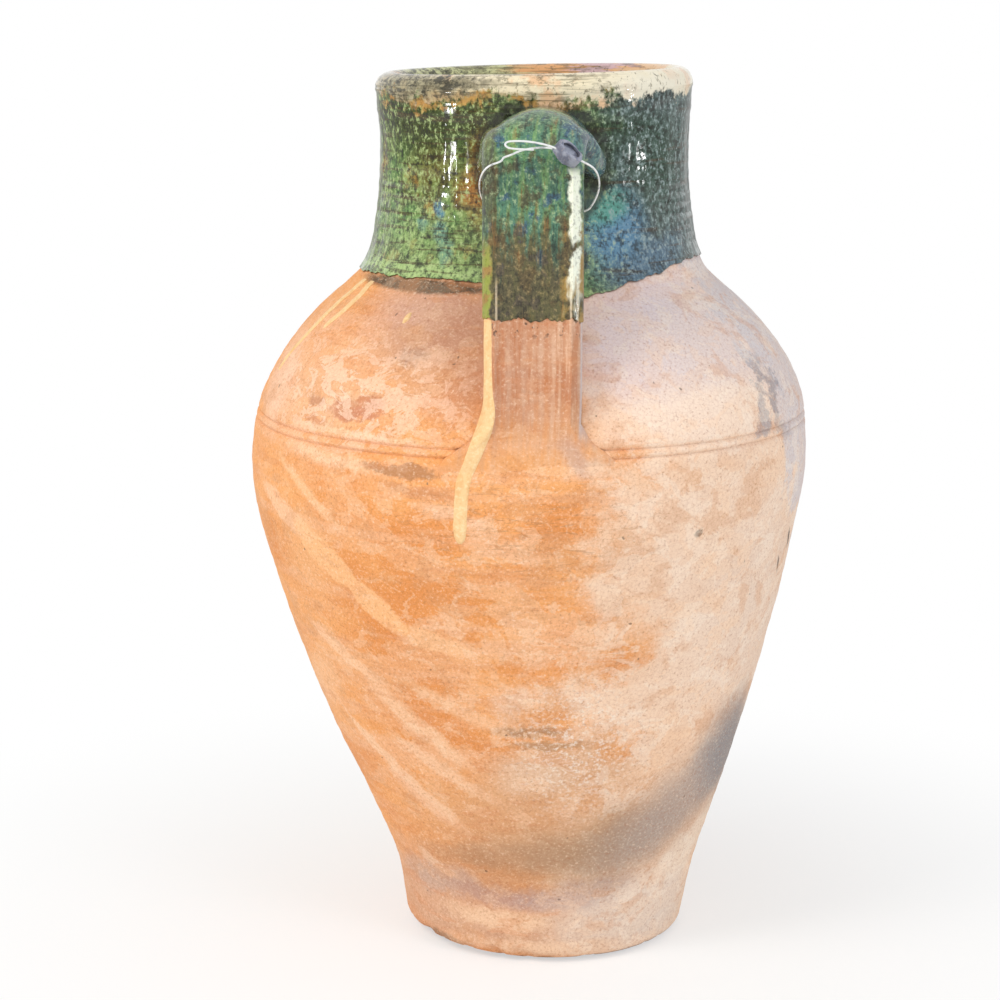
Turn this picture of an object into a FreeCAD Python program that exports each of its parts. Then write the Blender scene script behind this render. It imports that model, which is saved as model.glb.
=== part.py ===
import FreeCAD, Part
import math
import os

# Two-handled olive jar of fired clay, in millimetres, +Z up, origin at the middle of the foot's underside.
# It is thrown in sections that are luted together: lower body, shoulder, neck and rim coil.
# Strap handles stand at the front (-Y) and at the back (+Y), and a sealed wire loop hangs on the front one.

Vector = FreeCAD.Vector

# Outside of the clay: radii, and the rise of each stretch above the one below it
foot_radius = 98.0
foot_edge_radius = 10.0
foot_rise = 55.0
foot_top_radius = 107.0
belly_rise = 293.0
belly_radius = 190.5
shoulder_rise = 120.0
neck_root_radius = 116.5
neck_rise = 104.0
neck_waist_radius = 103.2
rim_foot_radius = 104.6
rim_rise = 28.0
rim_radius = 106.8

# Inside of the clay
wall = 12.0
floor_thickness = 18.0
floor_round_radius = 16.0
rim_thickness = 15.8
lip_drop = 9.0

# Curve of the wall between those sizes: share of the way up, share of the way across
belly_rise_shares = ((0.36, 0.47), (0.70, 0.83))
shoulder_fall_shares = ((0.31, 0.087), (0.62, 0.38), (0.82, 0.69), (0.91, 0.86))
neck_fall_shares = ((0.18, 0.39), (0.47, 0.71))
neck_waist_share = 0.654
rim_widest_share = 0.464
lip_crest_share = 0.56
lip_round_share = 0.72

# Luted joins between the thrown sections, and the pair of lines turned over the join at the belly
belly_join_rise = 21.0
neck_join_rise = 3.0
rim_join_rise = 2.0
luting_bevel = 6.0
turned_line_spacing = 5.5
turned_line_width = 2.4
turned_line_depth = 1.2

# Strap handle: its pulled section and the line that it follows, from the neck to the belly
strap_width = 60.0
strap_thickness = 18.0
strap_edge_bulge = 7.0
strap_dish = 1.5
strap_back_swell = 1.0
handle_drop = 28.0
handle_stand_off = 65.0
handle_bend_radius = 33.0
handle_foot_rise = 41.0

# Hooded upper root of the strap, pressed on to the neck, and how it fades along the bend
hood_width = 82.0
hood_crown = 30.0
hood_fill = 18.0
hood_sink = 14.0
hood_stem_share = 0.35
hood_bend_shares = ((0.0, 0.62), (0.36, 0.28), (0.70, 0.08), (1.0, 0.0))
hood_stem_fade_share = 0.9

# Flared lower root, smeared into the belly: share along it, then of its spread, its crown and its sinking
flare_length = 46.0
flare_width = 112.0
flare_crown = 16.0
flare_sink = 11.0
flare_shares = (
    (0.0, 0.0, 0.0, 0.0),
    (0.25, 0.27, 0.19, 0.05),
    (0.50, 0.78, 0.50, 0.18),
    (0.80, 1.0, 0.85, 0.55),
    (1.0, 0.77, 1.0, 1.0),
)

# Coats of glaze
glaze = 0.8
neck_glaze_drop = 4.0
strap_glaze_length = 90.0

# Sealed wire: the slug's place is counted from the top of the strap's straight run
wire_diameter = 1.3
wire_clearance = 0.4
wire_drop = 27.0
seal_length = 14.5
seal_diameter = 13.4
seal_thickness = 9.5
seal_round = 2.0
seal_side_share = 0.715
seal_rise = 14.0
seal_tilt_degrees = 27.0
dent_radius = 3.6
dent_depth = 0.7
strand_gap = 1.7
strand_lead = 2.0
tail_length = 36.0

# Wire route round the strap: shares of its half width, of its half thickness and of the drop behind it
loop_shares = (
    (1.20, 0.95, -0.10),
    (1.29, 0.20, 0.22),
    (1.23, -0.50, 0.56),
    (1.00, -1.00, 0.96),
    (-0.88, -1.00, 0.80),
    (-1.03, -0.45, 0.50),
    (-1.03, 0.45, 0.20),
    (-0.86, 1.14, -0.15),
    (-0.50, 1.14, -0.37),
    (-0.15, 1.16, -0.55),
)
# Folded tail, from its tip to where it enters the slug: shares of its length outwards and upwards
tail_shares = ((0.34, -0.05), (0.70, -0.04), (0.81, 0.00), (0.83, 0.06), (0.74, 0.10), (0.40, 0.09))
route_round_share = 0.45

# How far cutting shapes run past what they cut
overrun = 10.0

axis_base = Vector(0, 0, 0)
axis_up = Vector(0, 0, 1)
across = Vector(1, 0, 0)
full_turn = 360.0
half_turn = 180.0

seal_tilt = math.radians(seal_tilt_degrees)
wire_radius = wire_diameter / 2
strand_spacing = wire_diameter + strand_gap
mouth_radius = rim_radius - rim_thickness
belly_height = foot_rise + belly_rise
neck_root_height = belly_height + shoulder_rise
rim_foot_height = neck_root_height + neck_rise
jar_height = rim_foot_height + rim_rise
lip_inner_height = jar_height - lip_drop
handle_top_height = jar_height - handle_drop
handle_foot_height = belly_height + handle_foot_rise
belly_join_height = belly_height + belly_join_rise


def section_point(radius, height):
    """Point of the jar's half section."""
    return Vector(radius, 0, height)


def along(start, end, shares):
    """Points at shares of the height and of the radius between two points of the half section."""
    step = end - start
    return [section_point(start.x + step.x * out, start.z + step.z * up) for up, out in shares]


def spline(points):
    """Smooth edge through the points."""
    curve = Part.BSplineCurve()
    curve.interpolate(points)
    return curve.toShape()


def arc(start, middle, end):
    """Edge of a round stretch through three points."""
    return Part.Arc(start, middle, end).toShape()


def closed_revolve(edges):
    """Solid turned about the jar's axis from the edges of its half section."""
    return Part.Face(Part.Wire(edges)).revolve(axis_base, axis_up, full_turn)


def wall_edges(gain):
    """Belly line and neck line, with a gain in radius."""
    foot_top = section_point(foot_top_radius + gain, foot_rise)
    belly = section_point(belly_radius + gain, belly_height)
    root = section_point(neck_root_radius + gain, neck_root_height)
    waist = section_point(neck_waist_radius + gain, neck_root_height + neck_rise * neck_waist_share)
    rim_foot = section_point(rim_foot_radius + gain, rim_foot_height)
    rise = along(foot_top, belly, belly_rise_shares)
    fall = along(belly, root, shoulder_fall_shares)
    collar = along(root, waist, neck_fall_shares)
    return spline([foot_top, *rise, belly, *fall, root]), spline([root, *collar, waist, rim_foot])


def core(gain):
    """All that lies within the outside of the clay, with a gain in radius."""
    belly_line, neck_line = wall_edges(gain)
    heel = section_point(foot_radius + gain - foot_edge_radius, 0)
    heel_side = section_point(foot_radius + gain, foot_edge_radius)
    heel_middle = section_point(
        heel.x + foot_edge_radius * math.sin(math.pi / 4),
        foot_edge_radius * (1 - math.cos(math.pi / 4)),
    )
    rim_foot = section_point(rim_foot_radius + gain, rim_foot_height)
    rim_side = section_point(rim_radius + gain, rim_foot_height + rim_rise * rim_widest_share)
    crest = section_point(rim_radius + gain - rim_thickness * lip_crest_share, jar_height)
    mouth = section_point(mouth_radius + gain, lip_inner_height)
    outer_round = along(rim_side, crest, ((lip_round_share, 1 - lip_round_share),))[0]
    inner_round = along(crest, mouth, ((1 - lip_round_share, lip_round_share),))[0]
    top = section_point(0, lip_inner_height)
    return closed_revolve([
        Part.makeLine(axis_base, heel),
        arc(heel, heel_middle, heel_side),
        Part.makeLine(heel_side, section_point(foot_top_radius + gain, foot_rise)),
        belly_line,
        neck_line,
        Part.makeLine(rim_foot, rim_side),
        arc(rim_side, outer_round, crest),
        arc(crest, inner_round, mouth),
        Part.makeLine(mouth, top),
        Part.makeLine(top, axis_base),
    ])


def cavity(inset, top_height):
    """Space inside the jar up to a height at or over the inner lip, drawn in by an inset."""
    belly_line, neck_line = wall_edges(-wall - inset)
    floor_height = floor_thickness + inset
    side_radius = foot_radius - wall - inset
    middle = section_point(0, floor_height)
    floor_edge = section_point(side_radius - floor_round_radius, floor_height)
    floor_side = section_point(side_radius, floor_height + floor_round_radius)
    floor_bend = section_point(
        floor_edge.x + floor_round_radius * math.sin(math.pi / 4),
        floor_height + floor_round_radius * (1 - math.cos(math.pi / 4)),
    )
    throat = section_point(rim_foot_radius - wall - inset, rim_foot_height)
    mouth = section_point(mouth_radius - inset, lip_inner_height)
    rise = [mouth, section_point(mouth.x, top_height)] if top_height > lip_inner_height else [mouth]
    top = section_point(0, top_height)
    corners = [throat, *rise, top, middle, floor_edge]
    return closed_revolve([
        arc(floor_edge, floor_bend, floor_side),
        Part.makeLine(floor_side, section_point(foot_top_radius - wall - inset, foot_rise)),
        belly_line,
        neck_line,
        *[Part.makeLine(start, end) for start, end in zip(corners, corners[1:])],
    ])


def below_join(radius, height):
    """All that lies under a luted face, which rises inwards through the wall."""
    slope = luting_bevel / wall
    reach = belly_radius + overrun
    corners = [
        section_point(0, -overrun),
        section_point(reach, -overrun),
        section_point(reach, height - slope * (reach - radius)),
        section_point(0, height + slope * radius),
    ]
    return closed_revolve([Part.makeLine(a, b) for a, b in zip(corners, corners[1:] + corners[:1])])


def above(height):
    """All that lies over a height, as a wide drum."""
    return Part.makeCylinder(2 * belly_radius, jar_height, section_point(0, height))


def belly_radius_at(height):
    """Outer radius of the belly or shoulder at a height."""
    level = Part.makeLine(section_point(0, height), section_point(belly_radius + overrun, height))
    return wall_edges(0)[0].distToShape(level)[1][0][0].x


def turned_line(height):
    """Ring that cuts one V-shaped line into the belly at a height."""
    radius = belly_radius_at(height)
    corners = [
        section_point(radius - turned_line_depth, height),
        section_point(radius + turned_line_depth, height - turned_line_width),
        section_point(radius + turned_line_depth, height + turned_line_width),
    ]
    return closed_revolve([Part.makeLine(a, b) for a, b in zip(corners, corners[1:] + corners[:1])])


def strap_outline(origin, normal, width, crown, fill, sink, gain):
    """Closed outline across the strap: dished outer face, rounded edges, slightly swollen back."""
    half = width / 2 + gain
    face = half - strap_edge_bulge
    outer = strap_thickness / 2 + gain - sink
    inner = -strap_thickness / 2 - gain
    middle = (outer + inner) / 2

    def place(side, out):
        return origin + across * side + normal * out

    outer_left = place(-face, outer - crown)
    outer_right = place(face, outer - crown)
    inner_right = place(face, inner - crown)
    inner_left = place(-face, inner - crown)
    return Part.Wire([
        arc(outer_left, place(0, outer - strap_dish), outer_right),
        arc(outer_right, place(half, middle - crown), inner_right),
        arc(inner_right, place(0, inner - strap_back_swell - fill), inner_left),
        arc(inner_left, place(-half, middle - crown), outer_left),
    ])


# The strap's middle line: out of the neck, round the bend, then straight to the outside of the belly
bend_reach = neck_waist_radius + handle_stand_off - handle_bend_radius
bend_height = handle_top_height - handle_bend_radius
foot_out = belly_radius_at(handle_foot_height) - bend_reach
foot_down = handle_foot_height - bend_height
handle_run_length = math.sqrt(foot_out**2 + foot_down**2 - handle_bend_radius**2)
handle_turn = math.atan2(foot_out, foot_down) - math.atan2(handle_run_length, handle_bend_radius)


def strap_bend(angle):
    """Point and outward normal of the strap's middle line at an angle round its bend."""
    normal = Vector(0, -math.sin(angle), math.cos(angle))
    return Vector(0, -bend_reach, bend_height) + normal * handle_bend_radius, normal


run_start, run_normal = strap_bend(handle_turn)
run_direction = across.cross(run_normal)


def hood_outlines(gain):
    """Outlines of the strap from its root inside the neck to the end of the bend."""
    bend_start, stem_normal = strap_bend(0)
    buried = Vector(0, hood_sink - neck_waist_radius, handle_top_height)
    neck_face = Vector(0, -neck_waist_radius, handle_top_height)
    stem = neck_face + (bend_start - neck_face) * hood_stem_share
    spread = hood_width - strap_width
    stations = [(buried, stem_normal, 1), (stem, stem_normal, hood_stem_fade_share)]
    stations += [(*strap_bend(handle_turn * turn), fade) for turn, fade in hood_bend_shares]
    return [
        strap_outline(
            origin, normal, strap_width + spread * fade, hood_crown * fade, hood_fill * fade, 0, gain
        )
        for origin, normal, fade in stations
    ]


def flare_outlines():
    """Outlines of the strap from the end of its straight run to its root inside the belly."""
    spread = flare_width - strap_width
    run_end = run_start + run_direction * handle_run_length
    return [
        strap_outline(
            run_end + run_direction * (flare_length * way),
            run_normal,
            strap_width + spread * widen,
            flare_crown * crown,
            0,
            flare_sink * sink,
            0,
        )
        for way, widen, crown, sink in flare_shares
    ]


def loft(outlines):
    """Solid drawn smoothly through the outlines."""
    return Part.makeLoft(outlines, True, False)


def strap():
    """Whole strap at the front, with its roots buried in the jar."""
    hood = hood_outlines(0)
    run = Part.Face(hood[-1]).extrude(run_direction * handle_run_length)
    return run.fuse([loft(hood), loft(flare_outlines())])


def strap_coat(bare_strap, coated_jar):
    """Glaze on the hood and down part of the strap's run, ending against the jar and its coat."""
    coated = hood_outlines(glaze)
    sleeve = Part.Face(coated[-1]).extrude(run_direction * strap_glaze_length)
    return loft(coated).cut(coated_jar).fuse(sleeve).cut(bare_strap)


def to_back(shape):
    """Copy of a front piece, turned half way round the jar."""
    turned = shape.copy()
    turned.rotate(axis_base, axis_up, half_turn)
    return turned


def strap_place(side, out, down):
    """Point counted across, out of and down the strap from the top of its straight run."""
    return run_start + across * side + run_normal * out + run_direction * down


def rounded_route(points):
    """Straight runs joined by tangent arcs as large as the shorter run beside each point allows."""
    edges = []
    last = points[0]
    for before, corner, after in zip(points, points[1:], points[2:]):
        into = (corner - before).normalize()
        out = (after - corner).normalize()
        half_angle = into.getAngle(out) / 2
        trim = route_round_share * min(before.distanceToPoint(corner), corner.distanceToPoint(after))
        radius = trim / math.tan(half_angle)
        start = corner - into * trim
        end = corner + out * trim
        inside = (out - into).normalize() * (radius / math.cos(half_angle) - radius)
        edges += [Part.makeLine(last, start), arc(start, corner + inside, end)]
        last = end
    edges.append(Part.makeLine(last, points[-1]))
    return Part.Wire(edges)


face_gap = glaze + wire_clearance
seal_out = strap_thickness / 2 + face_gap + seal_thickness / 2
seal_axis = across * math.cos(seal_tilt) + run_direction * math.sin(seal_tilt)
seal_centre = strap_place(strap_width / 2 * seal_side_share, seal_out, -seal_rise)


def wire_route():
    """Points of the wire: folded tail, through the slug, round the strap and back into the slug."""
    edge = strap_width / 2 + face_gap + wire_radius
    front = strap_thickness / 2 + face_gap + wire_radius
    back = front + strap_back_swell
    beside = run_normal * (strand_spacing / 2)
    half_way = seal_axis * (seal_length / 2 + strand_lead)
    tail_root = seal_centre - half_way + beside
    tail = [
        tail_root - across * (tail_length * out) - run_direction * (tail_length * up)
        for out, up in tail_shares
    ]
    loop = [
        strap_place(edge * side, (front if out > 0 else back) * out, wire_drop * down)
        for side, out, down in loop_shares
    ]
    ends = [seal_centre - half_way - beside, seal_centre - beside]
    return [*tail, tail_root, seal_centre + half_way + beside, *loop, *ends]


def wire_tube(points):
    """Round wire along a route."""
    start = points[0]
    outline = Part.Wire(Part.makeCircle(wire_radius, start, points[1] - start))
    return rounded_route(points).makePipeShell([outline], True, False)


def seal_slug():
    """Lead slug: a short rounded bar pressed flat between two jaws, which leave a round dent on each flat."""
    bar_end = seal_centre - seal_axis * (seal_length / 2)
    bar = Part.makeCylinder(seal_diameter / 2, seal_length, bar_end, seal_axis)
    round_ends = [edge for edge in bar.Edges if edge.isClosed()]
    bar = bar.makeFillet(seal_round, round_ends)
    half_press = run_normal * (seal_thickness / 2)
    pressed = bar.common(Part.makeCylinder(seal_length, seal_thickness, seal_centre - half_press, run_normal))
    for way in (run_normal, -run_normal):
        floor = seal_centre + way * (seal_thickness / 2 - dent_depth)
        pressed = pressed.cut(Part.makeCylinder(dent_radius, overrun, floor, way))
    return pressed


clay_core = core(0)
clay = clay_core.cut(cavity(0, lip_inner_height + overrun))
under_belly_join = below_join(belly_radius, belly_join_height)
under_neck_join = below_join(neck_root_radius, neck_root_height + neck_join_rise)
under_rim_join = below_join(rim_foot_radius, rim_foot_height + rim_join_rise)
lower_line = turned_line(belly_join_height - turned_line_spacing / 2)
upper_line = turned_line(belly_join_height + turned_line_spacing / 2)

bare_strap = strap()
front_handle = bare_strap.cut(clay_core)
coated_core = core(glaze)
neck_coat = coated_core.common(above(neck_root_height - neck_glaze_drop)).cut(above(rim_foot_height))
neck_coat = neck_coat.cut(clay_core)
front_coat = strap_coat(bare_strap, coated_core)
wire = wire_tube(wire_route())

nodes = {
    "lower_body": clay.common(under_belly_join).cut(lower_line),
    "shoulder": clay.common(under_neck_join).cut(under_belly_join).cut(upper_line),
    "neck": clay.common(under_rim_join).cut(under_neck_join),
    "rim_coil": clay.cut(under_rim_join),
    "front_handle": front_handle,
    "back_handle": to_back(front_handle),
    "neck_glaze": neck_coat.cut([front_handle, to_back(front_handle)]),
    "front_handle_glaze": front_coat,
    "back_handle_glaze": to_back(front_coat),
    "inner_glaze": cavity(0, lip_inner_height).cut(cavity(glaze, lip_inner_height + overrun)),
    "seal_wire": wire,
    "lead_seal": seal_slug().cut(wire),
}

os.makedirs("parts", exist_ok=True)
for name, shape in nodes.items():
    shape.exportStep(f"parts/{name}.step")
    print(name, len(shape.Solids), "solid,", "valid" if shape.isValid() else "not valid")
print("seal slides along", run_direction)
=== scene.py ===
"""Olive jar of fired clay with two strap handles and a sealed wire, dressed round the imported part."""

import logging
import math
from collections.abc import Callable, Sequence
from dataclasses import dataclass, field
from enum import Enum

import bpy
from mathutils import Matrix, Vector, noise


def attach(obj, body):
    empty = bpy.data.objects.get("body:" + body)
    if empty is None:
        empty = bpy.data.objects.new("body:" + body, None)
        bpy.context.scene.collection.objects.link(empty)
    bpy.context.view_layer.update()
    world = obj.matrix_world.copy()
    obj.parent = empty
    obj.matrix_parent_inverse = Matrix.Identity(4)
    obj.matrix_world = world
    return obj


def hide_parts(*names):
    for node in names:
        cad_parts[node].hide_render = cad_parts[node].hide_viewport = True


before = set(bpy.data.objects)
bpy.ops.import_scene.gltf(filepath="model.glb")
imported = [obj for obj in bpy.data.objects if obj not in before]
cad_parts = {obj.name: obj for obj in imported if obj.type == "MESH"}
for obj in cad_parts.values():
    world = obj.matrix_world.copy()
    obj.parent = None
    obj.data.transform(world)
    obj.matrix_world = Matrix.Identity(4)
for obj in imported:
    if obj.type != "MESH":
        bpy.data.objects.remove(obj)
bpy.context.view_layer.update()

LOG = logging.getLogger("olive_jar")
FULL_TURN = 2 * math.pi
CORNER_STEPS = 6
QUARTER_TURN = [math.pi / 2 * index / CORNER_STEPS for index in range(CORNER_STEPS + 1)]
MERGE_DISTANCE = 1e-5
STRAIGHT = 1e-12
WHITE = (1.0, 1.0, 1.0, 1.0)
STRAP_PLACE = "strap_place"

Piece = bpy.types.Object
Socket = bpy.types.NodeSocket
Finish = bpy.types.Material
Span = tuple[float, float]
Spot = tuple[float, float, float]
Band = tuple[float, float, float, float]
Chain = list[Span]


# Lines and shares


@dataclass(frozen=True)
class SmoothLine:
    """Smooth curve of one size over another, through a few knots."""

    knots: tuple[Span, ...]

    def slope(self, index: int) -> float:
        """Slope of the curve at a knot.

        Args:
            index: Which knot.

        Returns:
            The mean of the slopes beside it, each weighed by the other's length.
        """
        last = len(self.knots) - 1
        spans = []
        for low in (index - 1, index):
            if 0 <= low < last:
                (x0, y0), (x1, y1) = self.knots[low], self.knots[low + 1]
                spans.append((x1 - x0, (y1 - y0) / (x1 - x0)))
        if len(spans) == 1:
            return spans[0][1]
        (before, rise_before), (after, rise_after) = spans
        return (rise_before * after + rise_after * before) / (before + after)

    def at(self, place: float) -> float:
        """Value of the curve at a place, held level past its ends.

        Args:
            place: Where on the curve.

        Returns:
            The value there.
        """
        if place <= self.knots[0][0]:
            return self.knots[0][1]
        for index, ((x0, y0), (x1, y1)) in enumerate(zip(self.knots, self.knots[1:])):
            if place <= x1:
                span = x1 - x0
                t = (place - x0) / span
                start = y0 * (1 + 2 * t) * (1 - t) ** 2 + self.slope(index) * span * t * (1 - t) ** 2
                end = y1 * (3 - 2 * t) * t**2 - self.slope(index + 1) * span * (1 - t) * t**2
                return start + end
        return self.knots[-1][1]


def steps_between(low: float, high: float, spacing: float) -> list[float]:
    """Evenly spaced places from one value to another, both included.

    Args:
        low: First place.
        high: Last place.
        spacing: Largest step.

    Returns:
        The places in order.
    """
    count = max(1, math.ceil(abs(high - low) / spacing))
    return [low + (high - low) * index / count for index in range(count + 1)]


def arc_points(start: Vector, middle: Vector, end: Vector, count: int) -> list[Vector]:
    """Points on the circle through three points of a plane.

    Args:
        start: First point of the arc.
        middle: A point on the arc.
        end: Last point of the arc.
        count: How many points, ends included.

    Returns:
        Points from start to end.
    """
    (ax, ay), (bx, by), (cx, cy) = start, middle, end
    twice = 2 * (ax * (by - cy) + bx * (cy - ay) + cx * (ay - by))
    if abs(twice) < STRAIGHT:
        return [start.lerp(end, index / (count - 1)) for index in range(count)]
    a2, b2, c2 = ax * ax + ay * ay, bx * bx + by * by, cx * cx + cy * cy
    centre = Vector((
        (a2 * (by - cy) + b2 * (cy - ay) + c2 * (ay - by)) / twice,
        (a2 * (cx - bx) + b2 * (ax - cx) + c2 * (bx - ax)) / twice,
    ))
    radius = (start - centre).length
    first = math.atan2(ay - centre.y, ax - centre.x)
    through = (math.atan2(by - centre.y, bx - centre.x) - first) % FULL_TURN
    sweep = (math.atan2(cy - centre.y, cx - centre.x) - first) % FULL_TURN
    if through > sweep:
        sweep -= FULL_TURN
    angles = [first + sweep * index / (count - 1) for index in range(count)]
    return [centre + Vector((math.cos(angle), math.sin(angle))) * radius for angle in angles]


def shrunk(point: Vector, size: Spot) -> Vector:
    """Count a point in steps of a pattern's size along each axis.

    Args:
        point: The point.
        size: The pattern's size along each axis.

    Returns:
        The point for a noise of size one.
    """
    return Vector((point.x / size[0], point.y / size[1], point.z / size[2]))


# Mesh work


def start_piece() -> None:
    """Leave nothing selected, so that the next operator acts on the new piece alone."""
    bpy.ops.object.select_all(action="DESELECT")


def pick(piece: Piece) -> None:
    """Select one piece alone, and make it the active one.

    Args:
        piece: The piece.
    """
    start_piece()
    piece.select_set(True)
    bpy.context.view_layer.objects.active = piece


def name_piece(name: str) -> Piece:
    """Name the piece that was just added.

    Args:
        name: Its name, and its mesh's.

    Returns:
        The piece.
    """
    piece = bpy.context.active_object
    piece.name = piece.data.name = name
    return piece


def set_points(piece: Piece, points: Sequence[Sequence[float]]) -> None:
    """Move a piece's vertices, in their order, to new points.

    Args:
        piece: The mesh to move.
        points: One point for each vertex.
    """
    piece.data.vertices.foreach_set("co", [value for point in points for value in point])
    piece.data.update()


def close_seams(piece: Piece, fill_ends: bool) -> None:
    """Merge what lies together, fill open ends if asked, and turn all faces outwards.

    Args:
        piece: The mesh to close.
        fill_ends: Whether open rings get a face.
    """
    bpy.context.view_layer.objects.active = piece
    bpy.ops.object.mode_set(mode="EDIT")
    bpy.ops.mesh.select_all(action="SELECT")
    bpy.ops.mesh.remove_doubles(threshold=MERGE_DISTANCE)
    bpy.ops.mesh.delete_loose()
    if fill_ends:
        bpy.ops.mesh.select_all(action="SELECT")
        bpy.ops.mesh.fill_holes(sides=0)
    bpy.ops.mesh.select_all(action="SELECT")
    bpy.ops.mesh.normals_make_consistent(inside=False)
    bpy.ops.object.mode_set(mode="OBJECT")


def turned(name: str, chain: Chain, steps: int) -> Piece:
    """Spin a half section about the jar's axis into a closed mesh.

    Args:
        name: Name of the piece.
        chain: Radius and height of each corner of the closed half section.
        steps: How many faces round the jar.

    Returns:
        The turned piece.
    """
    start_piece()
    bpy.ops.mesh.primitive_circle_add(vertices=len(chain), fill_type="NOTHING")
    piece = name_piece(name)
    set_points(piece, [(radius, 0.0, height) for radius, height in chain])
    bpy.ops.object.mode_set(mode="EDIT")
    bpy.ops.mesh.select_all(action="SELECT")
    bpy.ops.mesh.spin(steps=steps, angle=FULL_TURN, center=(0, 0, 0), axis=(0, 0, 1))
    bpy.ops.object.mode_set(mode="OBJECT")
    close_seams(piece, fill_ends=False)
    return piece


def wrapped(name: str, rings: Sequence[Sequence[Vector]], looped: bool) -> Piece:
    """Wrap a grid round a row of closed rings.

    Args:
        name: Name of the piece.
        rings: Rings of points, each as long as the others.
        looped: Whether the last ring runs back to the first; otherwise both ends are filled.

    Returns:
        The closed piece.
    """
    start_piece()
    rows = [*rings, rings[0]] if looped else list(rings)
    bpy.ops.mesh.primitive_grid_add(x_subdivisions=len(rows[0]), y_subdivisions=len(rows) - 1)
    piece = name_piece(name)
    set_points(piece, [point for ring in rows for point in (*ring, ring[0])])
    close_seams(piece, fill_ends=not looped)
    return piece


def rework(piece: Piece, move: Callable[[Vector], Vector]) -> None:
    """Work a surface over, point by point.

    Args:
        piece: The mesh to work over.
        move: Gives the new place of a point.
    """
    set_points(piece, [move(vertex.co) for vertex in piece.data.vertices])


def smooth(piece: Piece, sharp_degrees: float = 48.0) -> None:
    """Shade a piece smoothly, apart from its sharp edges.

    Args:
        piece: The mesh.
        sharp_degrees: Angle from which an edge stays sharp.
    """
    pick(piece)
    bpy.ops.object.shade_smooth_by_angle(angle=math.radians(sharp_degrees))


def dress(piece: Piece, material: Finish, body: str, nodes: Sequence[str]) -> None:
    """Give a piece its finish and its body, and hide the solids that it stands for.

    Args:
        piece: The finished mesh.
        material: Its finish.
        body: The body that it rides on.
        nodes: The solids that it replaces.
    """
    piece.data.materials.clear()
    piece.data.materials.append(material)
    smooth(piece)
    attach(piece, body)
    if nodes:
        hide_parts(*nodes)
    LOG.info("%s: %d faces, rides on %s", piece.name, len(piece.data.polygons), body)


# Finishes


def linear(tone: str) -> tuple[float, float, float, float]:
    """Turn an sRGB hex tone into the linear colour that a shader takes.

    Args:
        tone: Six hex digits after a hash sign.

    Returns:
        Red, green, blue and full alpha.
    """
    parts = [int(tone[place : place + 2], 16) / 255 for place in (1, 3, 5)]
    red, green, blue = [
        part / 12.92 if part <= 0.04045 else ((part + 0.055) / 1.055) ** 2.4 for part in parts
    ]
    return red, green, blue, 1.0


def add_node(
    tree: bpy.types.NodeTree, kind: str, sockets: dict | None = None, **settings: object
) -> bpy.types.Node:
    """Add a node, set its options and fill its sockets.

    Args:
        tree: The finish's node tree.
        kind: Type of the node.
        sockets: Input name or number, and the value or the output that feeds it.
        settings: Options of the node.

    Returns:
        The new node.
    """
    made = tree.nodes.new(kind)
    for option, value in settings.items():
        setattr(made, option, value)
    for key, value in (sockets or {}).items():
        if isinstance(value, Socket):
            tree.links.new(value, made.inputs[key])
        else:
            made.inputs[key].default_value = value
    return made


@dataclass(frozen=True)
class Patch:
    """One patch of colour, by its angle and height on the jar and its half sizes along the surface."""

    angle: float
    height: float
    wide: float
    tall: float
    tone: str
    strength: float = 0.7
    turn: float = 0.0
    soft: float = 0.5


@dataclass(frozen=True)
class Marks:
    """Patches of one kind, with the size and the reach of the tatters at their edges."""

    tatter_size: float
    tatter_reach: float
    patches: tuple[Patch, ...]


@dataclass(frozen=True)
class Clouds:
    """Cloudy pattern: its feature size along each axis, and how fine, rough and swirled it is."""

    size: Spot
    detail: float = 5.0
    rough: float = 0.6
    warp: float = 0.0


@dataclass(frozen=True)
class Blend:
    """Two tones, and the value that leads from one to the other."""

    first: str
    second: str
    by: str
    start: float
    full: float


@dataclass(frozen=True)
class Layer:
    """One layer of a finish: its tone, how well it covers, and the limits that it keeps to.

    A limit names a value of the paint and says where on it the layer starts and is full and, with four
    numbers, where it thins and ends. The layer's own clouds are the value "own". A mask cuts it as it is.
    """

    what: str
    tone: str | Blend
    cover: float
    limits: dict[str, tuple[float, ...]] = field(default_factory=dict)
    clouds: Clouds | None = None
    masks: tuple[str, ...] = ()


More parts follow.
